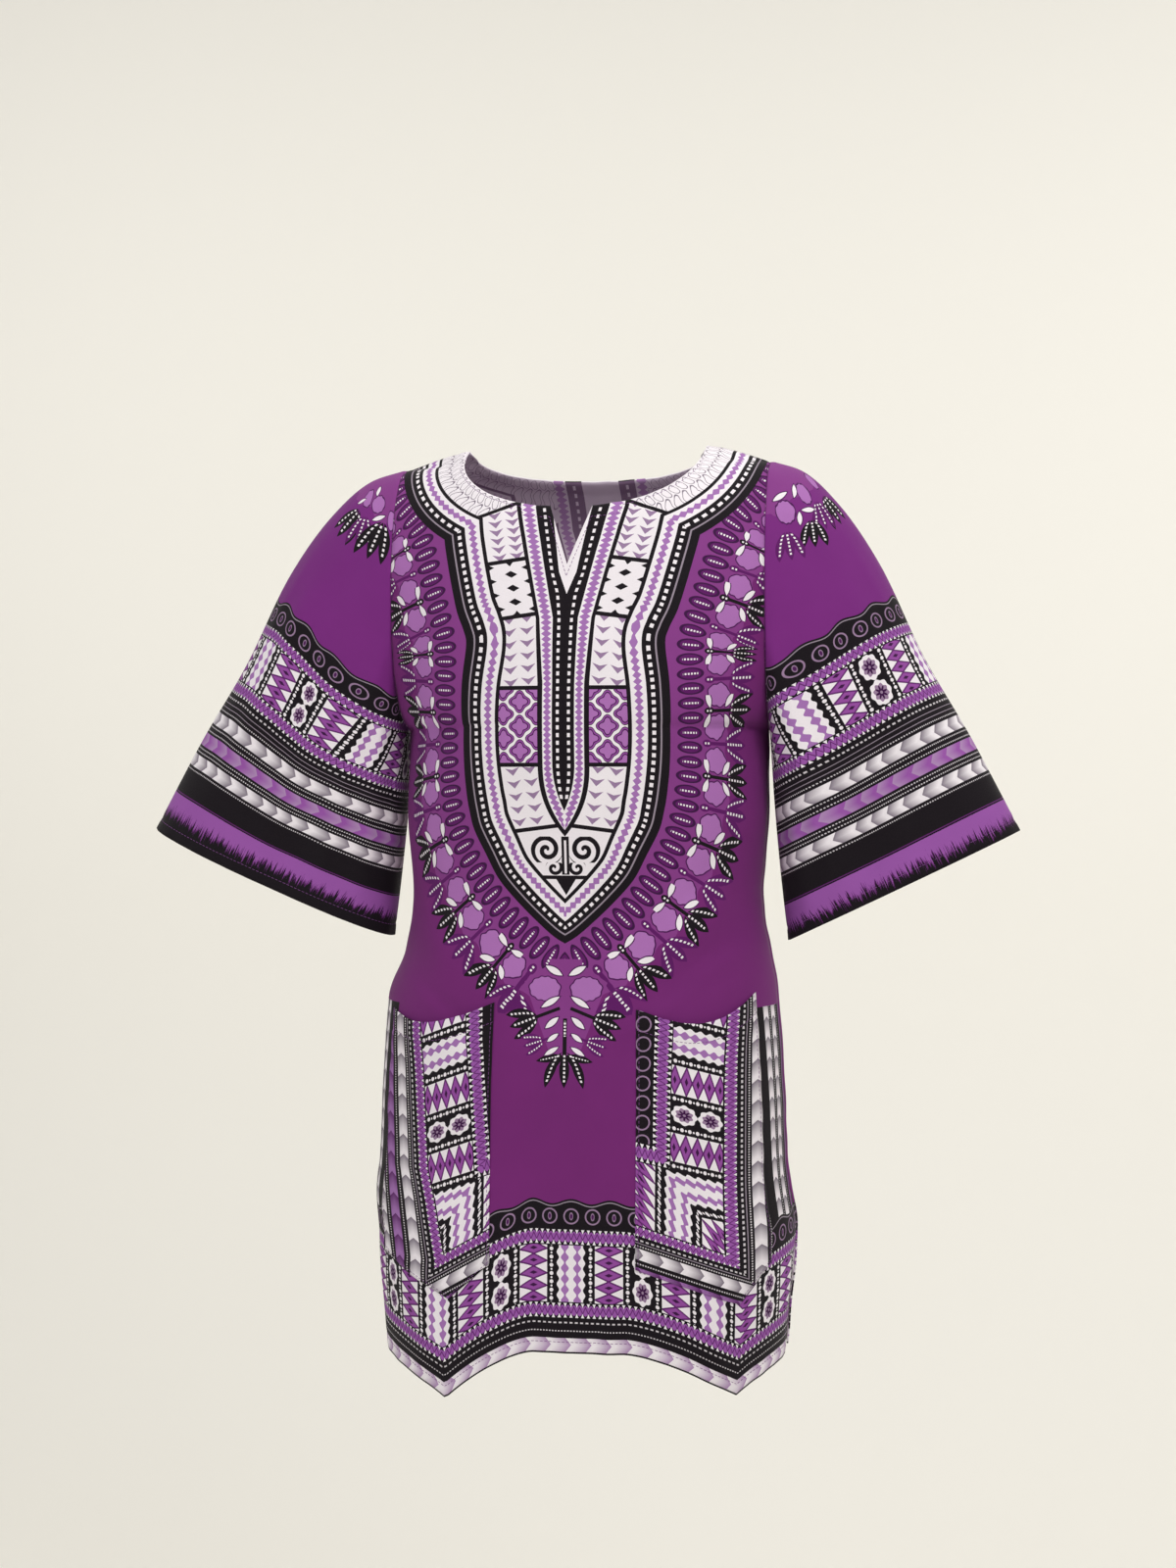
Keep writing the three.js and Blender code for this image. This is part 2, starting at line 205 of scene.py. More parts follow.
# Print: the lower part of the yoke's outer edge, and the middle line of the petals round it
YOKE_EDGE = [
    (0, -403), (9.7, -397), (22.4, -386), (38, -371), (54, -353), (65, -333), (75, -314), (79, -300),
    (82, -285), (85, -260), (85.8, -232), (84, -199), (80, -169), (82.5, -157), (90, -139), (100, -100),
    (105, -75), (109, -40), (113, 40),
]
PETAL_LINE = [
    (0, -417), (12, -411), (25, -400), (44, -383), (61, -363), (75, -343), (86, -323), (94, -301),
    (98, -280), (101, -255), (101.5, -230), (100, -200), (98.5, -178), (100, -160), (105, -142),
    (111, -122), (116, -104), (120.5, -90), (126, -76), (134, -64), (143, -54), (151, -45), (157, -30),
    (160, 0), (161, 30),
]
COLLAR_WIDTH = 52.0


def ease(start, end, value):
    t = np.clip((value - start) / (end - start), 0, 1)
    return t * t * (3 - 2 * t)


def superellipse(t, power):
    return np.maximum(1 - np.abs(t) ** power, 0) ** (1 / power)


def read_row(column, z):
    """A smooth curve through the body's rows, read at heights z."""
    heights = BODY_ROWS[:, 0]
    values = BODY_ROWS[:, column]
    start = np.clip(np.searchsorted(-heights, -z, side="right") - 1, 0, len(heights) - 2)
    before = np.maximum(start - 1, 0)
    end = start + 1
    after = np.minimum(start + 2, len(heights) - 1)
    span = heights[end] - heights[start]
    t = np.clip((z - heights[start]) / span, 0, 1)
    slope_start = (values[end] - values[before]) / (heights[end] - heights[before]) * span
    slope_end = (values[after] - values[start]) / (heights[after] - heights[start]) * span
    return (
        (2 * t ** 3 - 3 * t ** 2 + 1) * values[start]
        + (t ** 3 - 2 * t ** 2 + t) * slope_start
        + (3 * t ** 2 - 2 * t ** 3) * values[end]
        + (t ** 3 - t ** 2) * slope_end
    )


def shoulder_height(x):
    along = np.clip((np.abs(x) - NECK_HALF) / (SHOULDER_X - NECK_HALF), 0, 1)
    return -SHOULDER_DROP * along ** 1.3


def armhole_depth(z):
    middle = -(SHOULDER_DROP + ARMPIT_DROP) / 2
    half = (ARMPIT_DROP - SHOULDER_DROP) / 2
    return ARMHOLE_DEPTH * superellipse((z - middle) / half, ARMHOLE_CURVE)


def neck_height(x, drop):
    return -drop * superellipse(x / NECK_HALF, NECK_CURVE)


def top_edge(x, panel):
    notch = panel["notch"] * np.maximum(1 - np.abs(x) / NOTCH_HALF, 0)
    return np.where(np.abs(x) >= NECK_HALF, shoulder_height(x), neck_height(x, panel["drop"]) - notch)


def hem_height(x, half):
    """The hem's height at x, for a panel that is half wide there."""
    out = np.abs(x)
    result = np.zeros_like(x)
    for side in (1, -1):
        flat, point, low = HEM_FLAT[side], HEM_POINT_X[side], HEM_POINT[side]
        inward = np.clip((out - flat + 10) / (point - flat + 10), 0, 1) ** 1.55
        outward = np.clip((out - point) / (half - point), 0, 1) ** 0.8
        inner = HEM_MIDDLE + (low - HEM_MIDDLE) * inward
        outer = low + (HEM_SIDE - low) * outward
        result = np.where(np.sign(x + 1e-9) == side, np.where(out < point, inner, outer), result)
    return result


def fold_rise(folds, x, z):
    rise = np.zeros_like(x)
    for fold_x, fold_z, length, width, degrees, height in folds:
        turn = math.radians(degrees)
        dx = x - fold_x
        dz = z - fold_z
        across = (dx * math.cos(turn) - dz * math.sin(turn)) / width
        along = (dx * math.sin(turn) + dz * math.cos(turn)) / (length / 2)
        rise += height * np.exp(-across ** 2) * np.exp(-along ** 4)
    return rise


def panel_x(share, z):
    swell = HIP_SWELL * ease(-415, -455, z) * (1 - ease(-600, -650, z))
    return share * (read_row(1, z) + np.where(share < 0, swell * share ** 2, 0))


def panel_point(name, share, z, creased=True):
    """The outer face of the front or back, at a share of its half width and a height."""
    panel = PANEL[name]
    x = panel_x(share, z)
    lower = ease(-190, -310, z)
    full = 3 - 0.6 * lower
    bow = np.maximum(1 - np.abs(share) ** full, 0) ** (1 - 0.5 * lower)
    drop = np.clip((shoulder_height(x) - z) / SHOULDER_ROLL, 0, 1)
    roll = np.sqrt(1 - (1 - drop) ** 2)
    gape = SLIT_GAPE * np.clip((SLIT_TOP - z) / SLIT_REACH, 0, 1) ** 1.4
    edge = np.maximum(armhole_depth(z), gape)
    folds = FOLDS[name] + (CREASES[name] if creased else [])
    middle = read_row(panel["depth"], z) * roll + fold_rise(folds, x, z)
    depth = edge + (middle - edge) * bow
    return np.stack([x, panel["way"] * (depth + 0.15), z], axis=-1)


def column_share(top, low, z):
    """Inner columns keep their distance from the middle where the skirt widens."""
    out = np.abs(low)
    upright = read_row(1, np.full_like(z, POCKET_LEVEL)) / read_row(1, z)
    kept = low * upright + (low - low * upright) * ease(POCKET_INNER, 0.795, out)
    low = np.where(z < POCKET_LEVEL, kept, low)
    t = ease(-160, -330, z)
    return top / SHOULDER_X * (1 - t) + low * t


def arc_table(name):
    """How far each place lies from the middle along the cloth, on an even grid of heights and shares."""
    heights = np.arange(0, -771, -1.0)
    shares = np.linspace(-1, 1, 401)
    share, z = np.meshgrid(shares, heights)
    points = panel_point(name, share, z, creased=False)
    steps = np.hypot(np.diff(points[..., 0], axis=1), np.diff(points[..., 1], axis=1))
    arc = np.concatenate([np.zeros((len(heights), 1)), np.cumsum(steps, axis=1)], axis=1)
    return arc - arc[:, 200:201]


def read_arc(table, share, z):
    row = np.clip(-z, 0, table.shape[0] - 1.001)
    column = np.clip((share + 1) * 200, 0, 399.999)
    i, j = row.astype(int), column.astype(int)
    u, v = row - i, column - j
    upper = table[i, j] * (1 - v) + table[i, j + 1] * v
    lower = table[i + 1, j] * (1 - v) + table[i + 1, j + 1] * v
    return upper * (1 - u) + lower * u


def resample(points, step):
    """A smooth line through points, in even steps, with the distance along it."""
    points = np.asarray(points, float)
    count = len(points)
    padded = np.vstack([2 * points[0] - points[1], points, 2 * points[-1] - points[-2]])
    line = []
    for i in range(1, count):
        a, b, c, d = padded[i - 1:i + 3]
        for t in np.linspace(0, 1, 24, endpoint=False):
            line.append(0.5 * (
                2 * b + (c - a) * t + (2 * a - 5 * b + 4 * c - d) * t ** 2
                + (3 * b - a - 3 * c + d) * t ** 3
            ))
    line.append(points[-1])
    line = np.array(line)
    length = np.concatenate([[0], np.cumsum(np.linalg.norm(np.diff(line, axis=0), axis=1))])
    even = np.arange(0, length[-1], step)
    return np.stack([np.interp(even, length, line[:, k]) for k in range(2)], axis=1), even


def from_line(line, distance, s, z):
    """Signed distance outwards from a line and the place along it, for points of one half (s >= 0)."""
    flat = np.stack([s.ravel(), z.ravel()], axis=1)
    tangent = np.gradient(line, axis=0)
    tangent /= np.linalg.norm(tangent, axis=1, keepdims=True)
    normal = np.stack([tangent[:, 1], -tangent[:, 0]], axis=1)
    away = np.empty(len(flat))
    along = np.empty(len(flat))
    for start in range(0, len(flat), 4000):
        part = flat[start:start + 4000]
        gap = part[:, None, :] - line[None, :, :]
        nearest = np.argmin((gap ** 2).sum(axis=2), axis=1)
        offset = part - line[nearest]
        out = (offset * normal[nearest]).sum(axis=1)
        on = (offset * tangent[nearest]).sum(axis=1)
        reach = np.linalg.norm(offset, axis=1)
        ends = (nearest == 0) | (nearest == len(line) - 1)
        away[start:start + 4000] = np.where(ends, np.sign(out) * reach, out)
        along[start:start + 4000] = distance[nearest] + np.where(ends, 0, on)
    return away.reshape(s.shape), along.reshape(s.shape)


def from_neck(name, points):
    """Distance from the neck's edge along the cloth, and the place along that edge."""
    x = np.concatenate([
        np.linspace(-NECK_HALF, -99, 60),
        np.linspace(-99, 99, 700),
        np.linspace(99, NECK_HALF, 60),
    ])
    z = neck_height(x, PANEL[name]["drop"])
    edge = panel_point(name, x / SHOULDER_X, z, creased=False)
    length = np.concatenate([[0], np.cumsum(np.linalg.norm(np.diff(edge, axis=0), axis=1))])
    length -= length[-1] / 2
    flat = points.reshape(-1, 3)
    away = np.full(len(flat), 200.0)
    along = np.zeros(len(flat))
    near = np.flatnonzero(flat[:, 2] > -170)
    for start in range(0, len(near), 3000):
        part = near[start:start + 3000]
        gap = ((flat[part][:, None, :] - edge[None, :, :]) ** 2).sum(axis=2)
        nearest = np.argmin(gap, axis=1)
        away[part] = np.sqrt(gap[np.arange(len(part)), nearest])
        along[part] = length[nearest]
    return away.reshape(points.shape[:-1]), along.reshape(points.shape[:-1])


def subdivided(values, counts):
    out = []
    for i, count in enumerate(counts):
        for k in range(count):
            out.append(values[i] + (values[i + 1] - values[i]) * k / count)
    out.append(values[-1])
    return np.array(out)


def grid_normals(grid, closed):
    if closed:
        ring = np.concatenate([grid[-2:-1], grid, grid[1:2]], axis=0)
        across = ring[2:] - ring[:-2]
    else:
        across = np.gradient(grid, axis=0)
    down = np.gradient(grid, axis=1)
    normal = np.cross(down, across)
    return normal / np.maximum(np.linalg.norm(normal, axis=-1, keepdims=True), 1e-9)


def flatten(normals, pick, axis):
    normals[..., axis] = np.where(pick, 0, normals[..., axis])
    normals /= np.linalg.norm(normals, axis=-1, keepdims=True)


def make_shell(name, outer, normals, thickness, closed, maps, zone):
    """A thin closed wall of cloth. zone gives each face's material: even numbers outside, odd inside."""
    columns = outer.shape[0] - (1 if closed else 0)
    rows = outer.shape[1]
    inner = outer - normals * thickness[..., None]
    points = np.concatenate([outer[:columns].reshape(-1, 3), inner[:columns].reshape(-1, 3)]) * MM
    faces = []
    slots = []
    picks = []

    def at(layer, i, j):
        return layer * columns * rows + (i % columns) * rows + j

    def add(corners, slot):
        faces.append([at(*corner) for corner in corners])
        picks.extend((corner[1], corner[2]) for corner in corners)
        slots.append(slot)

    last = columns if closed else columns - 1
    for i in range(last):
        for j in range(rows - 1):
            slot = int(zone[i, j])
            add([(0, i, j), (0, i, j + 1), (0, i + 1, j + 1), (0, i + 1, j)], slot)
            add([(1, i, j), (1, i + 1, j), (1, i + 1, j + 1), (1, i, j + 1)], slot + 1)
        add([(0, i, 0), (0, i + 1, 0), (1, i + 1, 0), (1, i, 0)], int(zone[i, 0]))
        end = rows - 1
        add([(0, i, end), (1, i, end), (1, i + 1, end), (0, i + 1, end)], int(zone[i, -1]))
    if not closed:
        for j in range(rows - 1):
            add([(0, 0, j), (1, 0, j), (1, 0, j + 1), (0, 0, j + 1)], int(zone[0, j]))
            end = columns - 1
            add([(0, end, j), (0, end, j + 1), (1, end, j + 1), (1, end, j)], int(zone[-1, j]))
    mesh = bpy.data.meshes.new(name)
    mesh.from_pydata(points.tolist(), [], faces)
    picks = np.array(picks)
    for map_name, (u, v) in maps.items():
        layer = mesh.uv_layers.new(name=map_name)
        pairs = np.stack([u[picks[:, 0], picks[:, 1]], v[picks[:, 0], picks[:, 1]]], axis=1) * MM
        layer.data.foreach_set("uv", pairs.astype(np.float32).ravel())
    mesh.polygons.foreach_set("material_index", slots)
    mesh.polygons.foreach_set("use_smooth", [True] * len(faces))
    mesh.update()
    piece = bpy.data.objects.new(name, mesh)
    bpy.context.scene.collection.objects.link(piece)
    return piece


# Colours, as red, green and blue from 0 to 255
GROUND = (114, 36, 112)
SLEEVE_GROUND = (118, 38, 124)
DEEP = (74, 20, 82)
MEDIUM = (146, 74, 158)
LIGHT = (170, 110, 180)
WHITE = (238, 232, 238)
GREY = (150, 138, 152)
BLACK = (17, 9, 18)
PALE = (196, 160, 200)
MARK = (150, 122, 158)
VEIL = (132, 58, 134)
PETAL = (92, 20, 98)
DARK_PETAL = (58, 12, 66)
ORCHID = (150, 84, 166)
ORCHID_PALE = (162, 112, 178)
PLUM = (94, 34, 104)
LILAC = (172, 138, 182)
SMOKE = (128, 118, 132)
MAUVE = (150, 122, 154)
SPECK = (206, 200, 206)
THREAD = (62, 26, 70)


def linear(colour):
    def one(value):
        value /= 255
        return value / 12.92 if value <= 0.04045 else ((value + 0.055) / 1.055) ** 2.4
    return (one(colour[0]), one(colour[1]), one(colour[2]), 1.0)


class Num:
    """A number worked out in a shader, so that a print can be written as arithmetic."""

    def __init__(self, sketch, socket):
        self.sketch = sketch
        self.socket = socket

    def __add__(self, other):
        return self.sketch.math("ADD", self, other)

    def __sub__(self, other):
        return self.sketch.math("SUBTRACT", self, other)

    def __mul__(self, other):
        return self.sketch.math("MULTIPLY", self, other)

    def __truediv__(self, other):
        return self.sketch.math("DIVIDE", self, other)

    def __rsub__(self, other):
        return self.sketch.math("SUBTRACT", other, self)

    def __abs__(self):
        return self.sketch.math("ABSOLUTE", self)

    __radd__ = __add__
    __rmul__ = __mul__


class Sketch:
    """A cloth material whose print is painted layer by layer."""

    def __init__(self, name, ground):
        self.material = bpy.data.materials.new(name)
        self.material.use_nodes = True
        self.nodes = self.material.node_tree.nodes
        self.links = self.material.node_tree.links
        self.nodes.clear()
        self.colour = linear(ground)

    def math(self, kind, *inputs):
        node = self.nodes.new("ShaderNodeMath")
        node.operation = kind
        for socket, value in zip(node.inputs, inputs):
            if isinstance(value, Num):
                self.links.new(value.socket, socket)
            else:
                socket.default_value = value
        return Num(self, node.outputs[0])

    def uv(self, name):
        node = self.nodes.new("ShaderNodeUVMap")
        node.uv_map = name
        split = self.nodes.new("ShaderNodeSeparateXYZ")
        self.links.new(node.outputs[0], split.inputs[0])
        return Num(self, split.outputs[0]) * 1000.0, Num(self, split.outputs[1]) * 1000.0

    def ramp(self, value, start, end, low, high, kind="LINEAR"):
        node = self.nodes.new("ShaderNodeMapRange")
        node.interpolation_type = kind
        self.links.new(value.socket, node.inputs["Value"])
        node.inputs["From Min"].default_value = start
        node.inputs["From Max"].default_value = end
        node.inputs["To Min"].default_value = low
        node.inputs["To Max"].default_value = high
        return Num(self, node.outputs[0])

    def noise(self, vector, scale, detail=2.0, rough=0.5):
        node = self.nodes.new("ShaderNodeTexNoise")
        node.inputs["Scale"].default_value = scale
        node.inputs["Detail"].default_value = detail
        node.inputs["Roughness"].default_value = rough
        self.links.new(vector, node.inputs["Vector"])
        return Num(self, node.outputs[0])

    def more(self, a, b):
        return self.math("GREATER_THAN", a, b)

    def less(self, a, b):
        return self.math("LESS_THAN", a, b)

    def near(self, value, middle, half):
        return self.math("COMPARE", value, middle, half)

    def band(self, value, low, high):
        return self.near(value, (low + high) / 2, (high - low) / 2)

    def rep(self, value, pitch):
        return self.math("WRAP", value, pitch / 2, -pitch / 2)

    def tri(self, value, pitch):
        return self.math("PINGPONG", value, pitch / 2)

    def least(self, a, b):
        return self.math("MINIMUM", a, b)

    def most(self, a, b):
        return self.math("MAXIMUM", a, b)

    def oval(self, x, y, half_x, half_y):
        """1 in the middle, 0 on the oval's line and less outside."""
        u = x * (1 / half_x)
        v = y * (1 / half_y)
        return 1.0 - self.math("MULTIPLY_ADD", u, u, v * v)

    def pick(self, mask, yes, no):
        return self.math("MULTIPLY_ADD", mask, yes - no, no)

    def plane(self, x, y, a, b, c):
        """a x + b y + c"""
        return self.math("MULTIPLY_ADD", x, a, self.math("MULTIPLY_ADD", y, b, c))

    def vector(self, x, y):
        node = self.nodes.new("ShaderNodeCombineXYZ")
        self.links.new(x.socket, node.inputs[0])
        self.links.new(y.socket, node.inputs[1])
        return node.outputs[0]

    def mixed(self, mask, first, second):
        """The first colour where the mask is 0, and the second where it is 1."""
        node = self.nodes.new("ShaderNodeMix")
        node.data_type = "RGBA"
        self.links.new(mask.socket, node.inputs[0])
        for value, socket in ((first, node.inputs[6]), (second, node.inputs[7])):
            if isinstance(value, tuple):
                socket.default_value = value if len(value) == 4 else linear(value)
            else:
                self.links.new(value, socket)
        return node.outputs[2]

    def paint(self, mask, colour):
        self.colour = self.mixed(mask, self.colour, colour)

    def finish(self, inside):
        """Adds what is the same on all the cloth: uneven dye, weave, wear and sheen."""
        place = self.nodes.new("ShaderNodeUVMap")
        place.uv_map = "cloth"
        s, z = self.uv("cloth")
        cloud = self.noise(place.outputs[0], 14.0, 3.0, 0.6)
        fleck = self.noise(place.outputs[0], 900.0, 1.0, 0.5)
        warp = self.math("SINE", s * (2 * math.pi / WARP_PITCH))
        weft = self.math("SINE", z * (2 * math.pi / WEFT_PITCH))
        weave = warp * weft
        tone = 0.86 + cloud * 0.2 + fleck * 0.1 + weave * 0.03
        shade = self.nodes.new("ShaderNodeMix")
        shade.data_type = "RGBA"
        shade.blend_type = "MULTIPLY"
        shade.inputs[0].default_value = 1.0
        self.links.new(self.colour, shade.inputs[6])
        self.links.new(tone.socket, shade.inputs[7])
        self.colour = shade.outputs[2]
        if inside:
            self.paint(self.ramp(cloud, 0.0, 1.0, 0.42, 0.5), PALE)
        bump = self.nodes.new("ShaderNodeBump")
        bump.inputs["Strength"].default_value = 0.35
        bump.inputs["Distance"].default_value = 0.00012
        height = weave * 0.5 + fleck * 0.6
        self.links.new(height.socket, bump.inputs["Height"])
        shader = self.nodes.new("ShaderNodeBsdfPrincipled")
        shader.inputs["Specular IOR Level"].default_value = 0.2
        shader.inputs["Sheen Weight"].default_value = 0.05
        shader.inputs["Sheen Roughness"].default_value = 0.5
        rough = self.ramp(fleck, 0.3, 0.7, 0.74, 0.86)
        self.links.new(rough.socket, shader.inputs["Roughness"])
        self.links.new(self.colour, shader.inputs["Base Color"])
        self.links.new(bump.outputs[0], shader.inputs["Normal"])
        output = self.nodes.new("ShaderNodeOutputMaterial")
        self.links.new(shader.outputs[0], output.inputs[0])
        return self.material


# Print. Heights and distances are measured on the cloth, from the middle and the shoulders' height.
PRINT_BREAK = -530.0
YOKE_MIDDLE = 1.0
STEM_PITCH = 24.0
FIRST_STEM = 17.0
CELL_REPEAT = 112.0
CELL_HEIGHT = 43.5
# Pockets: the cells' first column, its lean, the bars' slope, the corner's height, the cells' stretch,
# the corner's inner side, a point of the lower border and its fall, how close the outer bands lie,
# and how far they bend in towards the corner
POCKET_PRINT = {
    1: (85.6, 0.0, 0.27, -577.0, 1.0, 80.0, (59.0, -618.0), 0.366, 0.58, 0.0),
    -1: (80.5, 11.0, 0.35, -588.6, 1.036, 70.0, (54.0, -623.0), 0.571, 0.7, 17.0),
}
# Sleeve tops, by the distance out from the shoulder seam and the height
SLEEVE_BUDS = {
    1: [
        ((33.5, -46.0), (6.4, 8.4), 0.3),
        ((15.8, -62.0), (7.0, 9.2), 0.35),
        ((52.0, -34.0), (4.4, 7.0), 0.6),
    ],
    -1: [
        ((15.6, -48.0), (5.6, 7.4), -0.2),
        ((29.0, -42.0), (4.4, 8.0), -0.5),
        ((2.0, -63.0), (3.0, 8.0), -0.1),
    ],
}
SLEEVE_TUFTS = {
    1: [
        ((57.0, -47.0), (0.46, -0.88), BLACK, 1.05),
        ((45.0, -52.0), (0.18, -0.98), PETAL, 0.95),
        ((36.0, -68.0), (0.16, -0.98), BLACK, 0.9),
        ((17.0, -78.0), (0.2, -0.98), PETAL, 0.95),
    ],
    -1: [
        ((33.0, -52.0), (0.66, -0.75), BLACK, 1.15),
        ((26.0, -58.0), (0.25, -0.97), PETAL, 1.0),
        ((9.0, -64.0), (0.4, -0.92), BLACK, 1.3),
    ],
}
SLEEVE_LEAVES = {
    1: [
        ((24.0, -44.0), (0.35, 0.94), 6.2, 2.0),
        ((11.0, -49.0), (0.8, 0.6), 6.6, 2.2),
        ((34.0, -59.5), (1.0, 0.1), 6.0, 2.0),
        ((27.0, -67.0), (0.1, -1.0), 5.6, 1.8),
    ],
    -1: [
        ((13.5, -60.0), (1.0, -0.25), 6.0, 1.9),
        ((22.0, -36.0), (0.5, 0.87), 5.0, 1.7),
        ((36.0, -44.0), (0.9, -0.4), 4.6, 1.6),
    ],
}


def yoke_bands(k, depth, along):
    """The bands that follow the yoke's edge, by the distance in from it."""
    k.paint(k.more(depth, 0.0), BLACK)
    k.paint(k.band(depth, 6.8, 8.2), GREY)
    k.paint(k.near(depth, 13.4, 1.55) * k.near(k.rep(along, 6.1), 0.0, 1.65), WHITE)
    k.paint(k.band(depth, 18.5, 31.0), WHITE)
    k.paint(k.less(abs(depth - 24.8) - k.tri(along, 5.6) * 0.95, 0.9), ORCHID_PALE)
    k.paint(k.more(depth, 34.2), WHITE)


def yoke_centre(k, m, z):
    """The strips down the middle. Returns the outer edge of the last one."""
    wedge = k.most(k.ramp(z, -57.0, -111.0, 16.0, 7.0), 0.0) - k.ramp(z, -111.0, -129.0, 0.0, 7.0)
    dark = k.ramp(z, -57.0, -148.0, 30.0, 10.0) - k.ramp(z, -148.0, -199.0, 0.0, 1.2)
    point = k.ramp(z, -262.0, -299.0, 0.0, 1.0)
    dark = dark * (1.0 - point * point)
    strip = k.ramp(z, -57.0, -148.0, 42.0, 20.6) - k.ramp(z, -148.0, -199.0, 0.0, 4.1)
    tip = k.ramp(z, -262.0, -314.0, 0.0, 1.0)
    taper = 1.0 - k.math("POWER", tip, 2.4)
    strip = strip * taper
    line = k.ramp(z, -57.0, -148.0, 45.5, 23.6) - k.ramp(z, -148.0, -199.0, 0.0, 3.1)
    line = line * (1.0 - k.math("POWER", k.ramp(z, -262.0, -319.0, 0.0, 1.0), 2.4))
    k.paint(k.less(m, line), BLACK)
    k.paint(k.less(m, strip), WHITE)
    middle = (strip + dark) * 0.5
    tooth = k.tri(z, 4.4) * (1 / 2.2)
    reach = k.math("MULTIPLY_ADD", tooth, 0.3, 0.12) * (strip - dark)
    k.paint(k.less(abs(m - middle), reach) * k.less(m, strip), ORCHID_PALE)
    k.paint(k.less(m, dark), BLACK)
    row = (wedge + dark) * 0.5
    dots = k.near(m - row, 0.0, 1.15) * k.near(k.rep(z, 6.0), 0.0, 1.55)
    k.paint(dots * k.more(z, -292.0), WHITE)
    k.paint(k.less(m, wedge), WHITE)
    return line


def v_marks(k, p, z, pitch):
    """Two columns of small V shapes, thin at their ends."""
    x = abs(abs(p) - 7.2)
    y = k.rep(z + p * 0.12, pitch)
    return k.less(abs(y - x * 0.66 + 1.2), (1.0 - x * (1 / 6.1)) * 2.3)


def lobed(k, x, y, radius):
    """Distance outwards from a four-lobed flower."""
    turn = k.math("ARCTAN2", y, x)
    reach = k.math("SQRT", x * x + y * y)
    return reach - k.math("COSINE", turn * 4.0) * 1.2 - radius


def yoke_panels(k, m, z, depth, line):
    """The white panels on both sides of the middle, with their dividers."""
    inside = k.more(depth, 34.2) * k.more(m, line)
    middle = k.ramp(z, -57.0, -148.0, 57.5, 38.0) - k.ramp(z, -148.0, -199.0, 0.0, 3.2)
    middle = middle - k.ramp(z, -262.0, -310.0, 0.0, 6.0)
    p = m - middle
    upper = z + p * 0.13
    tall = k.more(upper, -101.5)
    marks = tall * v_marks(k, p, z, 7.0)
    lower = k.more(z, -203.0) + k.less(z, -263.0)
    marks = marks + lower * k.less(upper, -146.5) * k.more(z, -313.0) * v_marks(k, p, z, 9.9)
    k.paint(k.least(marks, 1.0) * inside, MARK)

    block = k.band(upper, -146.5, -101.5) * inside
    step = abs(k.rep(z + 112.5, 11.2))
    k.paint(block * k.less(step * (1 / 2.8) + abs(p) * (1 / 5.2), 1.0), BLACK)
    notch = 4.2 - abs(k.rep(z + 107.0, 11.2)) * 2.2
    k.paint(block * k.less(k.least(m - line, depth - 34.2), notch), BLACK)
    edge = k.least(-101.5 - upper, upper + 146.5)
    k.paint(block * k.less(edge, 4.6 - abs(p) * 1.1), BLACK)

    lattice = k.band(z, -263.0, -203.0) * inside
    drop = k.rep(z + 233.0, 19.2)
    near = lobed(k, p, drop, 4.9)
    far = lobed(k, abs(p) - 13.6, abs(drop) - 9.6, 4.9)
    flower = k.least(near, far)
    k.paint(lattice, MEDIUM)
    k.paint(lattice * k.band(flower, 2.4, 5.6), BLACK)
    k.paint(lattice * k.band(flower, 3.0, 5.0), WHITE)
    k.paint(lattice * k.less(flower, 1.2), DEEP)
    k.paint(lattice * k.less(flower, 0.2), LIGHT)

    cut = k.near(upper, -101.5, 1.6) + k.near(upper, -146.5, 1.6) + k.near(z, -203.0, 1.6)
    cut = cut + k.near(z, -263.0, 1.6) + k.near(upper, -313.5, 1.6)
    k.paint(k.least(cut, 1.0) * inside, BLACK)


def spiral(k, x, y, pitch, reach, line):
    """A curled line that winds out from its middle."""
    far = k.math("SQRT", x * x + y * y)
    turn = k.math("ARCTAN2", y, x) * (pitch / (2 * math.pi))
    return k.less(abs(k.rep(far - turn, pitch)), line) * k.less(far, reach)


def yoke_scrolls(k, m, z, depth):
    """Two pairs of plain curls on a stem, over a small dark triangle."""
    inside = k.more(depth, 34.2) * k.less(z, -319.0)
    big = spiral(k, 14.8 - m, z + 329.5, 7.4, 12.8, 1.85)
    small = spiral(k, 9.2 - m, z + 343.6, 5.6, 6.9, 1.4)
    below = k.less(z, -339.5)
    k.paint(inside * k.pick(below, small, big), BLACK)
    stem = k.less(m, 3.0) * k.band(z, -349.0, -319.0)
    k.paint(stem, BLACK)
    k.paint(k.less(m, 0.9) * k.band(z, -348.0, -322.0), WHITE)
    k.paint(inside * k.band(z, -352.5, -349.6), BLACK)
    wedge = (z + 365.0) * 0.62
    k.paint(inside * k.less(m, wedge) * k.less(z, -350.0), BLACK)


def leaf(k, x, y, middle, way, length, width):
    """Above 0 inside a slim leaf with pointed ends."""
    size = math.hypot(*way)
    a, b = way[0] / size, way[1] / size
    u = k.plane(x, y, a, b, -(middle[0] * a + middle[1] * b)) * (1 / length)
    v = k.plane(x, y, -b, a, middle[0] * b - middle[1] * a)
    return 1.0 - k.math("MULTIPLY_ADD", u, u, abs(v) * (1 / width))


def paint_leaves(k, x, y, leaves, mask=None):
    shape = None
    for middle, way, length, width in leaves:
        one = leaf(k, x, y, middle, way, length, width)
        shape = one if shape is None else k.most(shape, one)
    for level, colour in ((-0.42, DEEP), (0.0, WHITE)):
        cover = k.more(shape, level)
        k.paint(cover if mask is None else cover * mask, colour)


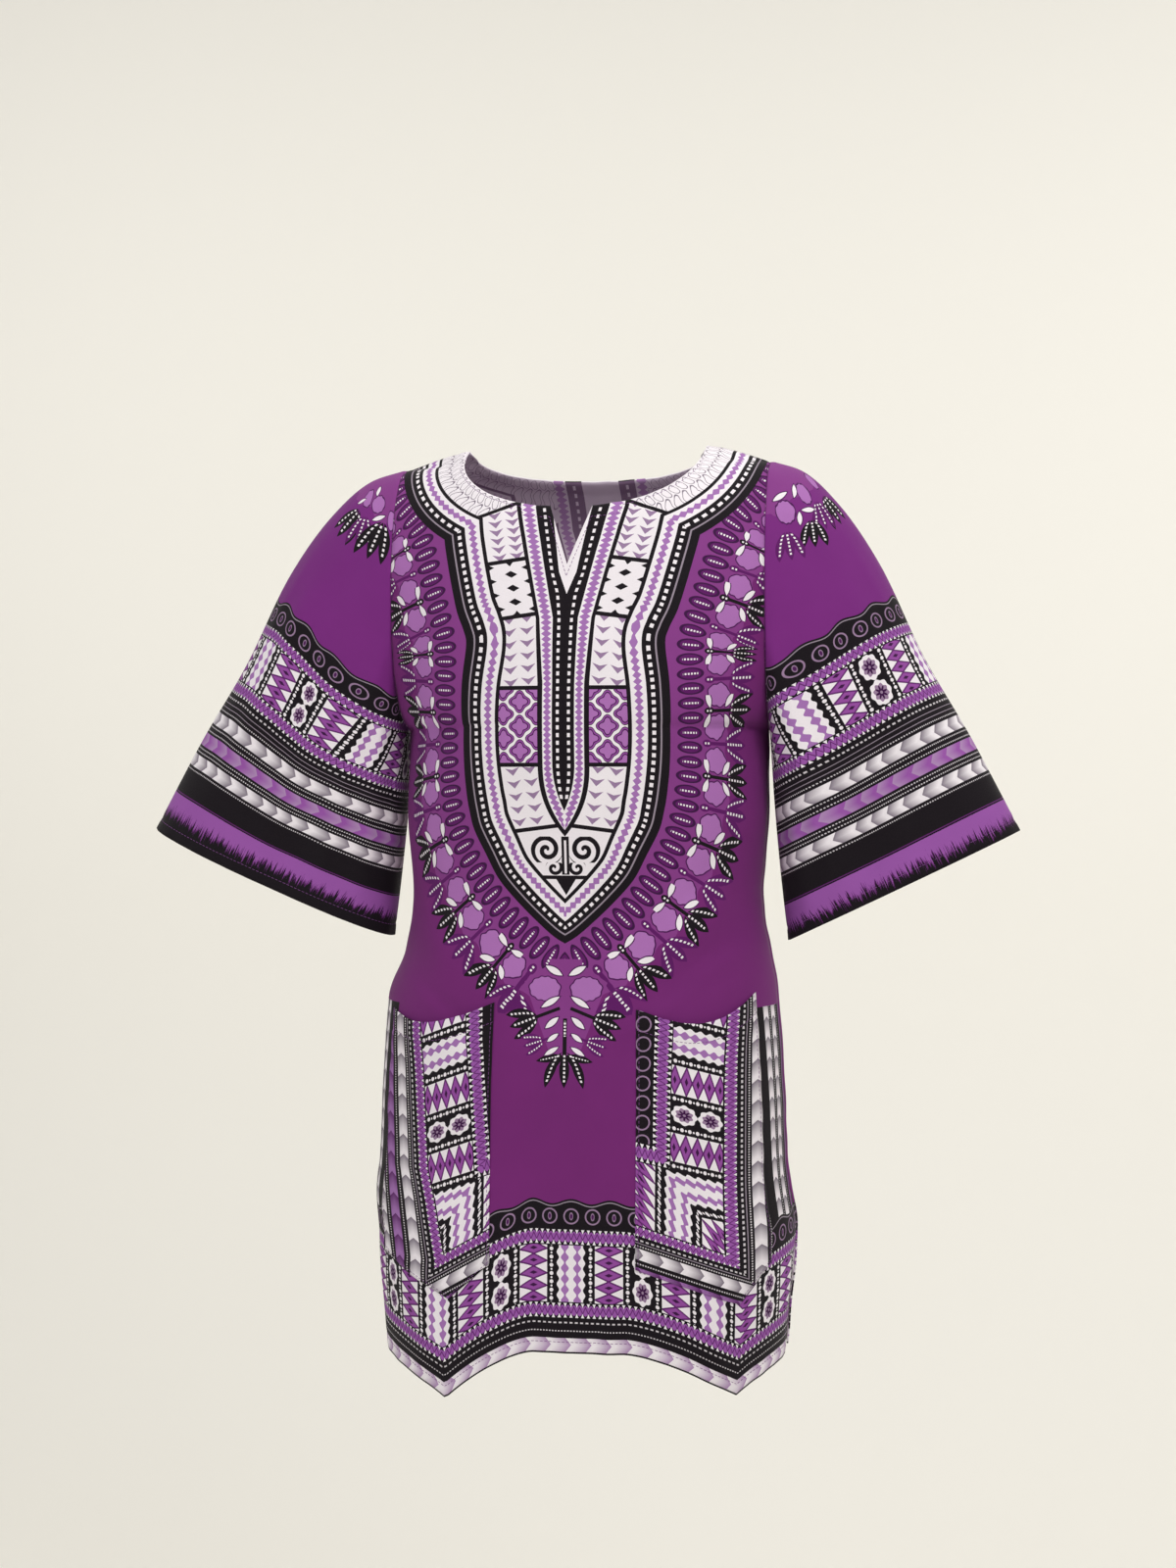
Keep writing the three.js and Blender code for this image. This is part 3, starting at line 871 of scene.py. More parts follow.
def tuft(k, w, u, length, spread):
    """Three fingers that fan out from a stem's end. Returns their cover and their dotted middle lines."""
    reach = k.math("SQRT", k.most(w, 0.0))
    line = k.least(abs(u - reach * spread), u)
    t = w * (2 / length) - 1.0
    wide = (1.0 - t * t) * 4.0
    cover = k.more(wide - line, 0.0)
    dots = k.less(line, 0.8) * k.less(abs(k.rep(w, 3.2)), 0.85) * k.band(w, 2.5, length - 4.0)
    return cover, dots


def petals_and_chain(k, away, run):
    """The ring of petals round the yoke, with a chain of blossoms, leaves and tufts outside it."""
    wave = k.math("COSINE", run * (2 * math.pi / STEM_PITCH))
    k.paint(k.less(away, 39.0 + wave * 2.6), VEIL)
    out = k.more(run, 7.0)
    u = k.tri(run - FIRST_STEM, STEM_PITCH)
    dark = k.less(k.tri(run - FIRST_STEM - STEM_PITCH, 2 * STEM_PITCH), STEM_PITCH / 2)
    tint = k.mixed(dark, PETAL, BLACK)

    turn = k.math("ARCTAN2", away - 26.5, 12.0 - u)
    scallop = k.math("SINE", turn * 5.0) * 0.12 + k.math("SINE", turn * 9.0) * 0.07
    bud = k.oval(12.0 - u, away - 26.5, 8.6, 10.2) + scallop
    k.paint(k.more(bud, -0.24) * out, DEEP)
    k.paint(k.more(bud, 0.0) * out, LIGHT)

    stalk = k.less(u, 1.25) * k.band(away, 15.0, 40.0)
    bulb = k.more(k.oval(u, away - 18.0, 2.7, 4.6), 0.0)
    cover, dots = tuft(k, away - 37.5, u, 25.0, 2.3)
    k.paint(k.least(stalk + bulb + cover, 1.0) * out, tint)
    specks = k.less(u, 0.75) * k.less(abs(k.rep(away - 16.5, 3.0)), 0.8) * k.band(away, 15.0, 21.0)
    k.paint(k.least(dots + specks, 1.0) * out, WHITE)
    paint_leaves(k, u, away, (
        ((8.6, 17.0), (1.0, -0.28), 6.6, 2.3),
        ((7.8, 37.5), (1.0, 0.75), 6.4, 2.3),
    ), dark * out)

    x = k.rep(run, 11.4)
    oval = k.oval(x, away - 1.6, 4.9, 11.4)
    k.paint(k.more(oval, 0.0), DARK_PETAL)
    k.paint(k.more(oval, 0.4), PETAL)
    beads = k.less(abs(x), 0.75) * k.less(abs(k.rep(away, 2.6)), 0.75)
    k.paint(beads * k.less(abs(away - 1.6), 6.4), WHITE)


def pendant(k, m, z):
    """The hanging point of the chain below the yoke's tip."""
    here = k.band(z, -530.0, -415.0) * k.less(m, 50.0)
    narrow = k.least(k.ramp(z, -419.0, -433.0, 13.0, 33.0), k.ramp(z, -433.0, -496.0, 33.0, 9.0))
    k.paint(here * k.less(m, narrow) * k.more(z, -497.0), VEIL)
    turn = k.math("ARCTAN2", z + 438.0, m - 16.5)
    bud = k.oval(m - 16.5, z + 438.0, 12.0, 9.0) + k.math("SINE", turn * 11.0) * 0.08
    k.paint(here * k.more(bud, -0.2), DEEP)
    k.paint(here * k.more(bud, 0.0), LIGHT)

    # Side sprigs: one black, one purple, each a stem with a few dotted fingers
    for middle, way, colour, size in (
        ((22.0, -460.0), (0.93, -0.36), BLACK, 1.0),
        ((17.0, -478.0), (0.95, -0.32), PETAL, 0.72),
    ):
        a, b = way
        w = k.plane(m, z, a, b, -(middle[0] * a + middle[1] * b)) * (1 / size)
        v = abs(k.plane(m, z, -b, a, middle[0] * b - middle[1] * a)) * (1 / size)
        cover, dots = tuft(k, w, v, 24.0, 2.0)
        stalk = k.less(v, 1.3) * k.band(w, -19.0, 2.0)
        k.paint(k.least(cover + stalk, 1.0) * here, colour)
        k.paint(dots * here, WHITE)

    # The middle stem and the last tuft
    stem = k.less(m, 1.6) * k.band(z, -492.0, -461.0)
    cover, dots = tuft(k, -487.0 - z, m, 28.0, 2.9)
    side = leaf(k, m, z, (12.0, -492.0), (0.97, -0.22), 11.0, 3.0)
    outer = leaf(k, m, z, (8.6, -497.0), (0.72, -0.69), 10.0, 2.8)
    more_dots = k.plane(m, z, 0.22, 0.97, 492.0 * 0.97 - 12.0 * 0.22)
    more_dots = k.less(abs(more_dots), 0.5) * k.less(abs(k.rep(m, 2.4)), 0.62) * k.band(m, 4.0, 19.0)
    k.paint(k.least(stem + cover + k.more(k.most(side, outer), 0.0), 1.0), BLACK)
    specks = k.less(m, 0.8) * k.less(abs(k.rep(z, 2.5)), 0.75) * k.band(z, -475.0, -463.0)
    k.paint(k.least(dots + more_dots + specks, 1.0), WHITE)
    paint_leaves(k, m, z, (
        ((9.3, -424.0), (0.88, 0.48), 7.6, 2.4),
        ((11.8, -448.5), (0.86, -0.51), 8.4, 2.2),
        ((10.4, -464.5), (0.76, -0.64), 6.8, 2.2),
        ((9.6, -476.0), (0.81, -0.59), 5.4, 1.8),
        ((10.5, -486.5), (0.86, -0.51), 6.4, 1.8),
    ))


def yoke_print(k):
    s, z = k.uv("cloth")
    neck, neck_along = k.uv("collar")
    out, along = k.uv("yoke")
    away, run = k.uv("petal")
    m = abs(s - YOKE_MIDDLE)
    _, from_side = k.uv("hem")
    flank(k, z, from_side)
    petals_and_chain(k, away, run)
    pendant(k, m, z)
    in_collar = (COLLAR_WIDTH - neck) * 1.15
    in_lower = out * k.ramp(z, -290.0, -385.0, -1.0, -1.24)
    depth = k.most(in_collar, in_lower)
    run_band = k.pick(k.more(in_collar, in_lower), abs(neck_along) * 1.15, along)
    yoke_bands(k, depth, run_band)

    above = k.plane(m, z, 0.355, 1.0, 53.0 - 0.355 * 44.0)
    collar = k.more(depth, 34.2) * k.more(above, 0.0) * k.more(m, 40.0)
    line = yoke_centre(k, m, z)
    yoke_panels(k, m, z, depth, line)
    yoke_scrolls(k, m, z, depth)
    k.paint(collar, WHITE)
    for shift, middle, reach in ((0.0, 6.5, 5.6), (3.4, 22.0, 11.0)):
        x = k.rep(neck_along + k.math("SINE", neck * 0.4) * 0.9 + shift, 6.8)
        loop = k.oval(x, neck - middle, 2.7, reach)
        k.paint(collar * k.band(loop, 0.0, 0.3), SMOKE)
    k.paint(k.near(above, 0.0, 1.6) * k.more(depth, 32.0) * k.more(m, 42.0), BLACK)


def zigzag(k, t, v, low, high, mask):
    """A purple zigzag between two rows of small white triangles. t runs across the strip, v along it."""
    half = (high - low) / 2
    side = t - (low + high) / 2
    d = abs(side)
    wave = k.tri(v, 4.6)
    here = k.less(d, half) * mask
    k.paint(here, BLACK)
    k.paint(here * k.less(d - wave * 0.75, half * 0.4), ORCHID)
    k.paint(here * k.less(abs(side - wave * (half * 0.34) + half * 0.36), half * 0.13), PLUM)
    k.paint(here * k.less(wave, (d - half * 0.36) * (2.6 / half)) * k.less(d, half - 0.9), WHITE)


def arrows(k, t, v, low, high, mask, first, second, pitch=16.0):
    """Arrowheads along a band, each from the first colour to the second."""
    d = abs(t - (low + high) / 2)
    phase = k.math("FRACT", (v + d * 0.8) * (1 / pitch))
    tone = k.ramp(phase, 0.22, 0.98, 0.0, 1.0)
    k.paint(k.less(d, (high - low) / 2) * mask, k.mixed(tone, first, second))


def dotted(k, t, v, at, mask, pitch=2.1, half=0.5, colour=SPECK):
    k.paint(k.near(t, at, half) * k.less(abs(k.rep(v, pitch)), pitch * 0.27) * mask, colour)


def lined(k, t, at, mask, half=0.32):
    k.paint(k.near(t, at, half) * mask, GREY)


def cells(k, v, t, mask):
    """Waves, diamonds, roses and diamonds in turn along v, with dotted bars between. t is 0 in the middle."""
    w = k.tri(v, CELL_REPEAT)
    k.paint(mask, BLACK)
    swing = k.math("COSINE", t * (2 * math.pi / 8.4))
    k.paint(mask * k.less(w - swing * 0.9, 10.4), WHITE)
    k.paint(mask * k.less(abs(w - 4.9) + swing * 1.2, 1.9), ORCHID_PALE)

    cell = k.near(w, 30.0, 11.0) * mask
    e = k.math("MULTIPLY_ADD", abs(w - 30.0), 1 / 11.0, abs(k.rep(t, 9.6)) * (1 / 4.8))
    k.paint(cell, PLUM)
    k.paint(cell * k.more(e, 1.13), WHITE)
    k.paint(cell * k.less(e, 0.85), MEDIUM)
    k.paint(cell * k.less(e, 0.3), DARK_PETAL)

    x = w - 56.0
    y = (abs(t) - 11.0) * 0.72
    turn = k.math("ARCTAN2", y, x)
    lobes = k.math("COSINE", turn * 8.0)
    reach = k.math("SQRT", k.math("MULTIPLY_ADD", x, x, y * y))
    rose = mask * k.less(abs(x), 8.0)
    k.paint(rose * k.less(reach - lobes * 0.5, 7.4), WHITE)
    k.paint(rose * k.less(reach + lobes * 0.5, 5.0), MAUVE)
    k.paint(rose * k.less(reach - lobes * 1.1, 3.1), DARK_PETAL)
    k.paint(rose * k.less(reach, 0.9), MAUVE)

    bar = abs(w - 30.0) - 14.5
    k.paint(mask * k.more(k.oval(bar, k.rep(t, 6.4), 1.5, 1.5), 0.0), WHITE)
    k.paint(mask * k.more(k.oval(bar, k.rep(t + 3.2, 6.4), 0.8, 0.8), 0.0), WHITE)


def rings(k, t, v, low, top, mask, pitch=17.0):
    """A black band with closed rings and a small upright flame in each, under a scalloped edge."""
    edge = top + k.math("COSINE", v * (2 * math.pi / 31.0)) * 1.8
    k.paint(k.more(t, low) * k.less(t, edge) * mask, BLACK)
    k.paint(k.near(edge - t, 2.0, 0.42) * mask, GREY)
    x = k.rep(v, pitch)
    y = t - (low + 9.4)
    reach = k.math("SQRT", k.math("MULTIPLY_ADD", x, x, y * y))
    k.paint(k.near(reach, 5.6, 0.6) * mask, MAUVE)
    flame = k.oval(x, y, 1.5, 3.0)
    k.paint(k.more(flame, 0.0) * mask, MAUVE)
    k.paint(k.more(flame, 0.55) * mask, DEEP)


def flank(k, z, from_side):
    """Upright bands on the front beside the pockets, out to the side seams, and a painted highlight: a
    wobbling lighter purple streak just inside each side seam, where the black cloth folds round.
    """
    t = 44.0 - from_side
    here = k.more(t, -16.0) * k.less(z, -456.0)
    k.paint(here, BLACK)
    arrows(k, t, z, 2.0, 10.0, here, WHITE, SMOKE)
    dotted(k, t, z, 12.4, here, 2.0, 0.45)
    arrows(k, t, z, 15.0, 23.0, here, WHITE, SMOKE)
    dotted(k, t, z, 25.6, here, 2.0, 0.45)
    # Painted highlight: a wobbling MEDIUM purple streak a few millimetres in from the side seam, standing in
    # for light on the fold of the black cloth
    streak = k.noise(k.vector(t * 0.5, z * 0.03), 1.0, 2.0, 0.6)
    k.paint(here * k.near(t + streak * 5.0, 37.5, 2.6), MEDIUM)


def hem_print(k):
    s, z = k.uv("cloth")
    t, from_side = k.uv("hem")
    flank(k, z, from_side)
    v = s - 7.5
    on = k.more(t, -20.0)
    k.paint(k.less(t, 40.0), BLACK)
    arrows(k, t, v, 1.4, 12.0, on, WHITE, LILAC)
    dotted(k, t, v, 17.6, on, 2.4, 0.45)
    dotted(k, t, v, 24.0, on, 4.2, 0.6)
    zigzag(k, t, v, 27.0, 40.0, on)
    cells(k, v, t - 62.0, k.band(t, 40.0, 84.0))
    zigzag(k, t, v, 84.0, 97.0, on)
    rings(k, t, v, 97.0, 118.0, on)


def side_bands(k, t, v, mask):
    """The bands that run round the outside of the cells on a pocket."""
    k.paint(k.more(t, 0.0) * mask, BLACK)
    zigzag(k, t, v, 0.0, 8.6, mask)
    dotted(k, t, v, 10.6, mask, 4.2, 0.6)
    lined(k, t, 12.8, mask, 0.3)
    dotted(k, t, v, 15.0, mask, 2.0, 0.45)
    arrows(k, t, v, 16.8, 25.0, mask, WHITE, SMOKE)
    dotted(k, t, v, 28.0, mask, 2.0, 0.5)
    arrows(k, t, v, 31.0, 40.0, mask, ORCHID_PALE, PLUM)
    dotted(k, t, v, 43.0, mask, 2.0, 0.5)
    arrows(k, t, v, 46.0, 54.0, mask, WHITE, SMOKE)


def pocket_print(k, side):
    arc, z = k.uv("cloth")
    start, lean, slope, corner, stretch, inner, low, fall, squeeze, bend = POCKET_PRINT[side]
    a = arc * side
    c = a - start + k.ramp(z, -480.0, -610.0, 0.0, lean)
    p = (corner - z - c * slope) * (1 / stretch)
    q = a - inner
    f = (c - CELL_HEIGHT + k.ramp(z, -585.0, -655.0, 0.0, bend)) * squeeze
    b = k.plane(a, z, -fall, -1.0, low[1] + low[0] * fall) * math.cos(math.atan(fall))
    out = k.most(f, b)
    inside = k.less(out, 0.0)
    cells(k, k.least(p, q) - 12.0, c - CELL_HEIGHT / 2 - k.most(p, 0.0), inside * k.more(k.most(c, p), 0.0))

    # The inner strip comes down beside the cells and turns inwards above the corner
    strip = k.least(c * -1.0, p * -1.0)
    above = k.more(strip, 0.0) * inside
    k.paint(above, BLACK)
    zigzag(k, strip, k.most(c * -1.0, p * -1.0), 0.0, 15.4, above)
    if side > 0:
        x = k.rep(z, 15.0)
        y = a - start + 23.0
        reach = k.math("SQRT", k.math("MULTIPLY_ADD", x, x, y * y))
        k.paint(above * k.near(reach, 5.4, 0.6) * k.more(strip, 15.6), MAUVE)
    side_bands(k, out, k.pick(k.more(b, f), a, z), k.more(out, 0.0))


def sleeve_print(k, side):
    v, t = k.uv("cloth")
    out, z = k.uv("top")
    lean = k.ramp(abs(v), 40.0, 150.0, 0.0, 1.0)
    t = t * (lean * lean * (3.0 - lean * 2.0) * (0.11 - 0.06 * side) + 1.0) + (4.5 + 4.5 * side)
    v = v - (30.75 - 15.25 * side)
    on = k.more(t, -20.0)

    # Flowers and tufts near the shoulder
    veil = k.noise(k.vector(out * 0.05, z * 0.05), 1.0, 2.0, 0.5) * 30.0
    k.paint(k.less(k.plane(out, z, 0.55, -1.0, 0.0) + veil, 82.0), VEIL)
    for middle, half, turn in SLEEVE_BUDS[side]:
        a, b = math.cos(turn), math.sin(turn)
        x = k.plane(out, z, a, b, -(middle[0] * a + middle[1] * b))
        y = k.plane(out, z, -b, a, middle[0] * b - middle[1] * a)
        bud = k.oval(x, y, half[0], half[1]) + k.math("SINE", x * 1.9) * 0.08
        k.paint(k.more(bud, -0.3), DEEP)
        k.paint(k.more(bud, 0.0), LIGHT)
    for middle, way, colour, size in SLEEVE_TUFTS[side]:
        reach = math.hypot(*way)
        a, b = way[0] / reach, way[1] / reach
        w = k.plane(out, z, a, b, -(middle[0] * a + middle[1] * b)) * (1 / size)
        u = abs(k.plane(out, z, -b, a, middle[0] * b - middle[1] * a)) * (1 / size)
        cover, dots = tuft(k, w, u, 25.0, 2.1)
        k.paint(cover, colour)
        k.paint(dots, WHITE)
    paint_leaves(k, out, z, SLEEVE_LEAVES[side])

    # Bands, from the cuff up
    k.paint(k.less(t, 134.0), BLACK)
    streak = k.noise(k.vector(v * 0.8, t * 0.03), 1.0, 3.0, 0.75)
    edge = streak * 46.0 - 5.0
    stripe = k.more(t, edge) * k.less(t, 36.5 + streak)
    k.paint(stripe, ORCHID)
    k.paint(stripe * k.less(t, edge + 2.6), PLUM)
    k.paint(k.near(t, 38.6, 0.45), PLUM)
    dotted(k, t, v, 60.6, on)
    arrows(k, t, v, 63.4, 74.0, on, WHITE, SMOKE)
    dotted(k, t, v, 76.6, on)
    dotted(k, t, v, 80.0, on)
    arrows(k, t, v, 82.6, 93.6, on, ORCHID, LILAC)
    dotted(k, t, v, 96.0, on)
    dotted(k, t, v, 100.2, on)
    arrows(k, t, v, 102.8, 113.8, on, WHITE, SMOKE)
    dotted(k, t, v, 116.8, on)
    lined(k, t, 120.6, on)
    lined(k, t, 124.6, on, 0.3)
    dotted(k, t, v, 129.4, on, 4.2, 0.75)
    zigzag(k, t, v, 133.0, 146.0, on)
    cells(k, v, t - 167.0, k.band(t, 146.0, 188.0))
    zigzag(k, t, v, 188.0, 199.0, on)
    rings(k, t, v, 199.0, 221.0, on)


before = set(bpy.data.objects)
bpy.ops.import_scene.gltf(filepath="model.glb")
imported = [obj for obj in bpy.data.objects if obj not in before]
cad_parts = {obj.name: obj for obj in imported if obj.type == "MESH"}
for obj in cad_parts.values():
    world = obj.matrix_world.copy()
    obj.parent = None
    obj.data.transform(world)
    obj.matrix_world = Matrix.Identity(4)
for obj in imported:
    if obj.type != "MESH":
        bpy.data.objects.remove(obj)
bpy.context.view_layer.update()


def cloth_materials(name, *prints, ground=GROUND):
    """For each print one material for the outside and one for the paler inside."""
    result = []
    for number, draw in enumerate(prints):
        for inside in (False, True):
            sketch = Sketch(f"{name}_{number}_{'inside' if inside else 'outside'}", ground)
            draw(sketch)
            result.append(sketch.finish(inside))
    return result


def dress(piece, materials, node):
    for material in materials:
        piece.data.materials.append(material)
    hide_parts(node)
    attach(piece, "root")


def thread_material():
    """Dull thread, with small changes of colour and a fine twist."""
    material = bpy.data.materials.new("thread")
    material.use_nodes = True
    nodes = material.node_tree.nodes
    links = material.node_tree.links
    shader = nodes["Principled BSDF"]
    place = nodes.new("ShaderNodeTexCoord")
    noise = nodes.new("ShaderNodeTexNoise")
    noise.inputs["Scale"].default_value = 900.0
    links.new(place.outputs["Object"], noise.inputs["Vector"])
    tint = nodes.new("ShaderNodeMix")
    tint.data_type = "RGBA"
    tint.inputs[6].default_value = linear(THREAD)
    tint.inputs[7].default_value = linear(ORCHID)
    links.new(noise.outputs[0], tint.inputs[0])
    links.new(tint.outputs[2], shader.inputs["Base Color"])
    bump = nodes.new("ShaderNodeBump")
    bump.inputs["Strength"].default_value = 0.5
    bump.inputs["Distance"].default_value = 0.0001
    links.new(noise.outputs[0], bump.inputs["Height"])
    links.new(bump.outputs[0], shader.inputs["Normal"])
    shader.inputs["Roughness"].default_value = 0.62
    return material


def crossings(grid, normals, field, level, last=False):
    """The points where a field crosses a level, one for each row of the first axis that has one."""
    points = []
    ups = []
    for i in range(len(grid)):
        gap = field[i] - level
        found = np.flatnonzero(gap[:-1] * gap[1:] < 0)
        if len(found):
            j = found[-1] if last else found[0]
            t = gap[j] / (gap[j] - gap[j + 1])
            points.append(grid[i, j] * (1 - t) + grid[i, j + 1] * t)
            ups.append(normals[i, j] * (1 - t) + normals[i, j + 1] * t)
    return np.array(points), np.array(ups)


def swapped(grid, normals, field):
    return grid.transpose(1, 0, 2), normals.transpose(1, 0, 2), field.T


def make_stitches(name, lines):
    """Small round-ended stitches along lines of points, joined in one piece."""
    circle = [(math.cos(math.pi * k / 3), math.sin(math.pi * k / 3)) for k in range(6)]
    rings = ((-0.5, 0.4, -0.1), (-0.36, 1.0, 0.02), (0.36, 1.0, 0.02), (0.5, 0.4, -0.1))
    vertices = []
    faces = []
    for points, ups in lines:
        steps = np.linalg.norm(np.diff(points, axis=0), axis=1)
        length = np.concatenate([[0], np.cumsum(steps)])
        count = int(length[-1] / STITCH_PITCH)
        for k in range(count):
            at = (k + 0.5) * length[-1] / count
            ends = []
            for offset in (-0.5, 0.0, 0.5):
                ends.append(np.array([np.interp(at + offset, length, points[:, c]) for c in range(3)]))
            middle = ends[1]
            along = ends[2] - ends[0]
            along /= max(np.linalg.norm(along), 1e-6)
            up = np.array([np.interp(at, length, ups[:, c]) for c in range(3)])
            up -= along * (up @ along)
            up /= max(np.linalg.norm(up), 1e-6)
            side = np.cross(along, up)
            start = len(vertices)
            for place, size, lift in rings:
                core = middle + along * place * STITCH_LENGTH + up * lift
                for a, b in circle:
                    vertices.append((core + (up * a * 0.8 + side * b) * STITCH_RADIUS * size) * MM)
            for r in range(3):
                for c in range(6):
                    d = (c + 1) % 6
                    row = start + r * 6
                    faces.append((row + c, row + d, row + 6 + d, row + 6 + c))
            faces.append(tuple(start + c for c in reversed(range(6))))
            faces.append(tuple(start + 18 + c for c in range(6)))
    mesh = bpy.data.meshes.new(name)
    mesh.from_pydata([tuple(v) for v in vertices], [], faces)
    mesh.polygons.foreach_set("use_smooth", [True] * len(faces))
    mesh.update()
    piece = bpy.data.objects.new(name, mesh)
    bpy.context.scene.collection.objects.link(piece)
    piece.data.materials.append(thread)
    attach(piece, "root")
    return piece


def fading(distance, reach):
    """1 at no distance, and almost 0 at twice the reach."""
    return np.exp(-(distance / reach) ** 2)


def hem_thickness(distance):
    """The turned hem is thicker cloth along an edge, and ends in a soft step."""
    return CLOTH + HEM_EXTRA * (1 - ease(HEM_WIDTH - HEM_STEP, HEM_WIDTH + HEM_STEP, distance))


def make_panel(name, side_counts, rows):
    panel = PANEL[name]
    counts = list(reversed(side_counts)) + list(side_counts)
    tops = np.concatenate([-COLUMNS[::-1, 0], COLUMNS[1:, 0]])
    lows = np.concatenate([-COLUMNS[::-1, 1], COLUMNS[1:, 1]])
    tops = subdivided(tops, counts)
    lows = subdivided(lows, counts)
    half = read_row(1, np.array([HEM_MIDDLE]))[0]
    start = top_edge(tops, panel)
    end = hem_height(lows * half, half)
    t = np.linspace(0, 1, rows + 1) ** 1.08
    z = start[:, None] + (end - start)[:, None] * t[None, :]
    top_grid = np.broadcast_to(tops[:, None], z.shape)
    low_grid = np.broadcast_to(lows[:, None], z.shape)
    share = column_share(top_grid, low_grid, z)
    grid = panel_point(name, share, z)
    if panel["way"] > 0:
        grid, share, z, tops, lows = grid[::-1], share[::-1], z[::-1], tops[::-1], lows[::-1]
        start, end = start[::-1], end[::-1]
    normals = grid_normals(grid, False)
    plain = panel_point(name, share, z, creased=False)
    arc = read_arc(ARC[name], share, z)
    sides = np.zeros(z.shape, bool)
    sides[[0, -1]] = True
    flatten(normals, sides & (z > -ARMPIT_DROP), 0)
    flatten(normals, sides & (z <= -ARMPIT_DROP) & (z > SLIT_TOP - SLIT_SEWN), 1)
    shoulder = np.zeros(z.shape, bool)
    shoulder[:, 0] = np.abs(grid[:, 0, 0]) >= NECK_HALF - 0.15
    flatten(normals, shoulder, 1)

    side_reach = read_arc(ARC[name], np.where(share < 0, -1.0, 1.0), z)
    from_side = np.abs(side_reach) - np.abs(arc)
    below = z - end[:, None]
    neck_away, neck_along = from_neck(name, plain)
    slit_edge = np.where(z < SLIT_TOP + 6, from_side, 99.0)
    notch_edge = np.where(
        (np.abs(grid[..., 0]) < 40) & (panel["notch"] > 0),
        np.abs(z - start[:, None]) * NOTCH_HALF / math.hypot(NOTCH_HALF, NOTCH_DEPTH), 99.0)
    edge = np.minimum(np.minimum(below, neck_away), np.minimum(slit_edge, notch_edge))
    ripple = 0.22 * np.sin(arc / 5.3 + 2 * np.sin(arc / 23)) + 0.14 * np.sin(arc / 2.9 + z / 17)
    groove = GROOVE_DEPTH * fading(edge - HEM_WIDTH + HEM_STEP, GROOVE_REACH)
    seam = SEAM_DEPTH * fading(from_side, SEAM_REACH) * (z > SLIT_TOP - SLIT_SEWN)
    seam_pull = PULL_HEIGHT * np.sin(z / 6.1 + 1.7 * np.sin(z / 31)) * fading(from_side, PULL_REACH)
    shift = ripple * fading(edge, 16) - groove - seam + seam_pull
    grid = grid + normals * shift[..., None]

    mirrored = np.abs(arc)
    away, along = from_line(EDGE_LINE, EDGE_ALONG, mirrored, z)
    petal_away, petal_along = from_line(PETALS_LINE, PETALS_ALONG, mirrored, z)
    maps = {
        "cloth": (arc, z),
        "collar": (neck_away, neck_along),
        "yoke": (away, along),
        "petal": (petal_away, petal_along),
        "hem": (below, from_side + (0 if panel["way"] < 0 else 500)),
    }
    middle = (z[:-1, :-1] + z[1:, 1:]) / 2
    zone = np.where(middle > PRINT_BREAK, 0, 2)
    piece = make_shell(name + "_cloth", grid, normals, hem_thickness(edge), False, maps, zone)

    inner = np.flatnonzero(np.abs(tops) < NECK_HALF - 0.5)
    low = z[len(z) // 2] < SLIT_TOP
    slit_rows = np.flatnonzero(low & (below.min(axis=0) > HEM_WIDTH))
    body = from_side.max(axis=1) > 6
    lines = [
        crossings(grid[inner], normals[inner], edge[inner], 3.2),
        crossings(grid[body], normals[body], below[body], HEM_WIDTH - STITCH_INSET, last=True),
    ]
    for last in (False, True):
        across = swapped(grid[:, slit_rows], normals[:, slit_rows], from_side[:, slit_rows])
        lines.append(crossings(*across, HEM_WIDTH - STITCH_INSET, last=last))
    return piece, make_stitches("stitches_" + name, lines)


def along_rows(rows, t):
    """A Catmull-Rom curve through X and Z pairs, centripetal like the solids'."""
    points = [np.array(row, float) for row in rows]
    count = len(points) - 1
    place = t * count
    i = min(int(place), count - 1)
    w = place - i
    before = points[i - 1] if i > 0 else 2 * points[0] - points[1]
    after = points[i + 2] if i + 2 <= count else 2 * points[count] - points[count - 1]
    result = np.zeros(2)
    gaps = [
        max(np.sum((b - a) ** 2) ** 0.25, 1e-4)
        for a, b in ((before, points[i]), (points[i], points[i + 1]), (points[i + 1], after))
    ]
    for k in range(2):
        p0, p1, p2, p3 = before[k], points[i][k], points[i + 1][k], after[k]
        m1 = ((p1 - p0) / gaps[0] - (p2 - p0) / (gaps[0] + gaps[1]) + (p2 - p1) / gaps[1]) * gaps[1]
        m2 = ((p2 - p1) / gaps[1] - (p3 - p1) / (gaps[1] + gaps[2]) + (p3 - p2) / gaps[2]) * gaps[1]
        c2 = -3 * p1 + 3 * p2 - 2 * m1 - m2
        c3 = 2 * p1 - 2 * p2 + m1 + m2
        result[k] = p1 + m1 * w + c2 * w ** 2 + c3 * w ** 3
    return result


def sleeve_around(outer_line, inner_line, cuff, up, x, y, z, above):
    """Distance along the cloth from the sleeve's outer edge, at right angles to the cuff's way up."""
    outer_up = (outer_line - outer_line[-1]) @ up
    outer_level = (outer_line - outer_line[-1]) @ cuff
    inner_up = (inner_line - outer_line[-1]) @ up
    inner_level = (inner_line - outer_line[-1]) @ cuff
    start = np.interp(above, outer_up[::-1], outer_level[::-1])
    end = np.interp(above, inner_up[::-1], inner_level[::-1])
    half = np.maximum(start - end, 60) / 2
    level = (x - outer_line[-1][0]) * cuff[0] + (z - outer_line[-1][1]) * cuff[1]
    e = np.maximum(start - level, 0)
    depth = np.abs(y)

    def quarter(a, b):
        return (a ** 1.536 + b ** 1.536) ** (1 / 1.536)

    s = ease(0.7, 1.3, e / half)
    whole = 2 * quarter(half, CUFF_HALF_DEPTH + 8)
    far = whole - quarter(np.maximum(2 * half - e, 0), depth)
    return -np.sign(y) * (quarter(e, depth) * (1 - s) + far * s)


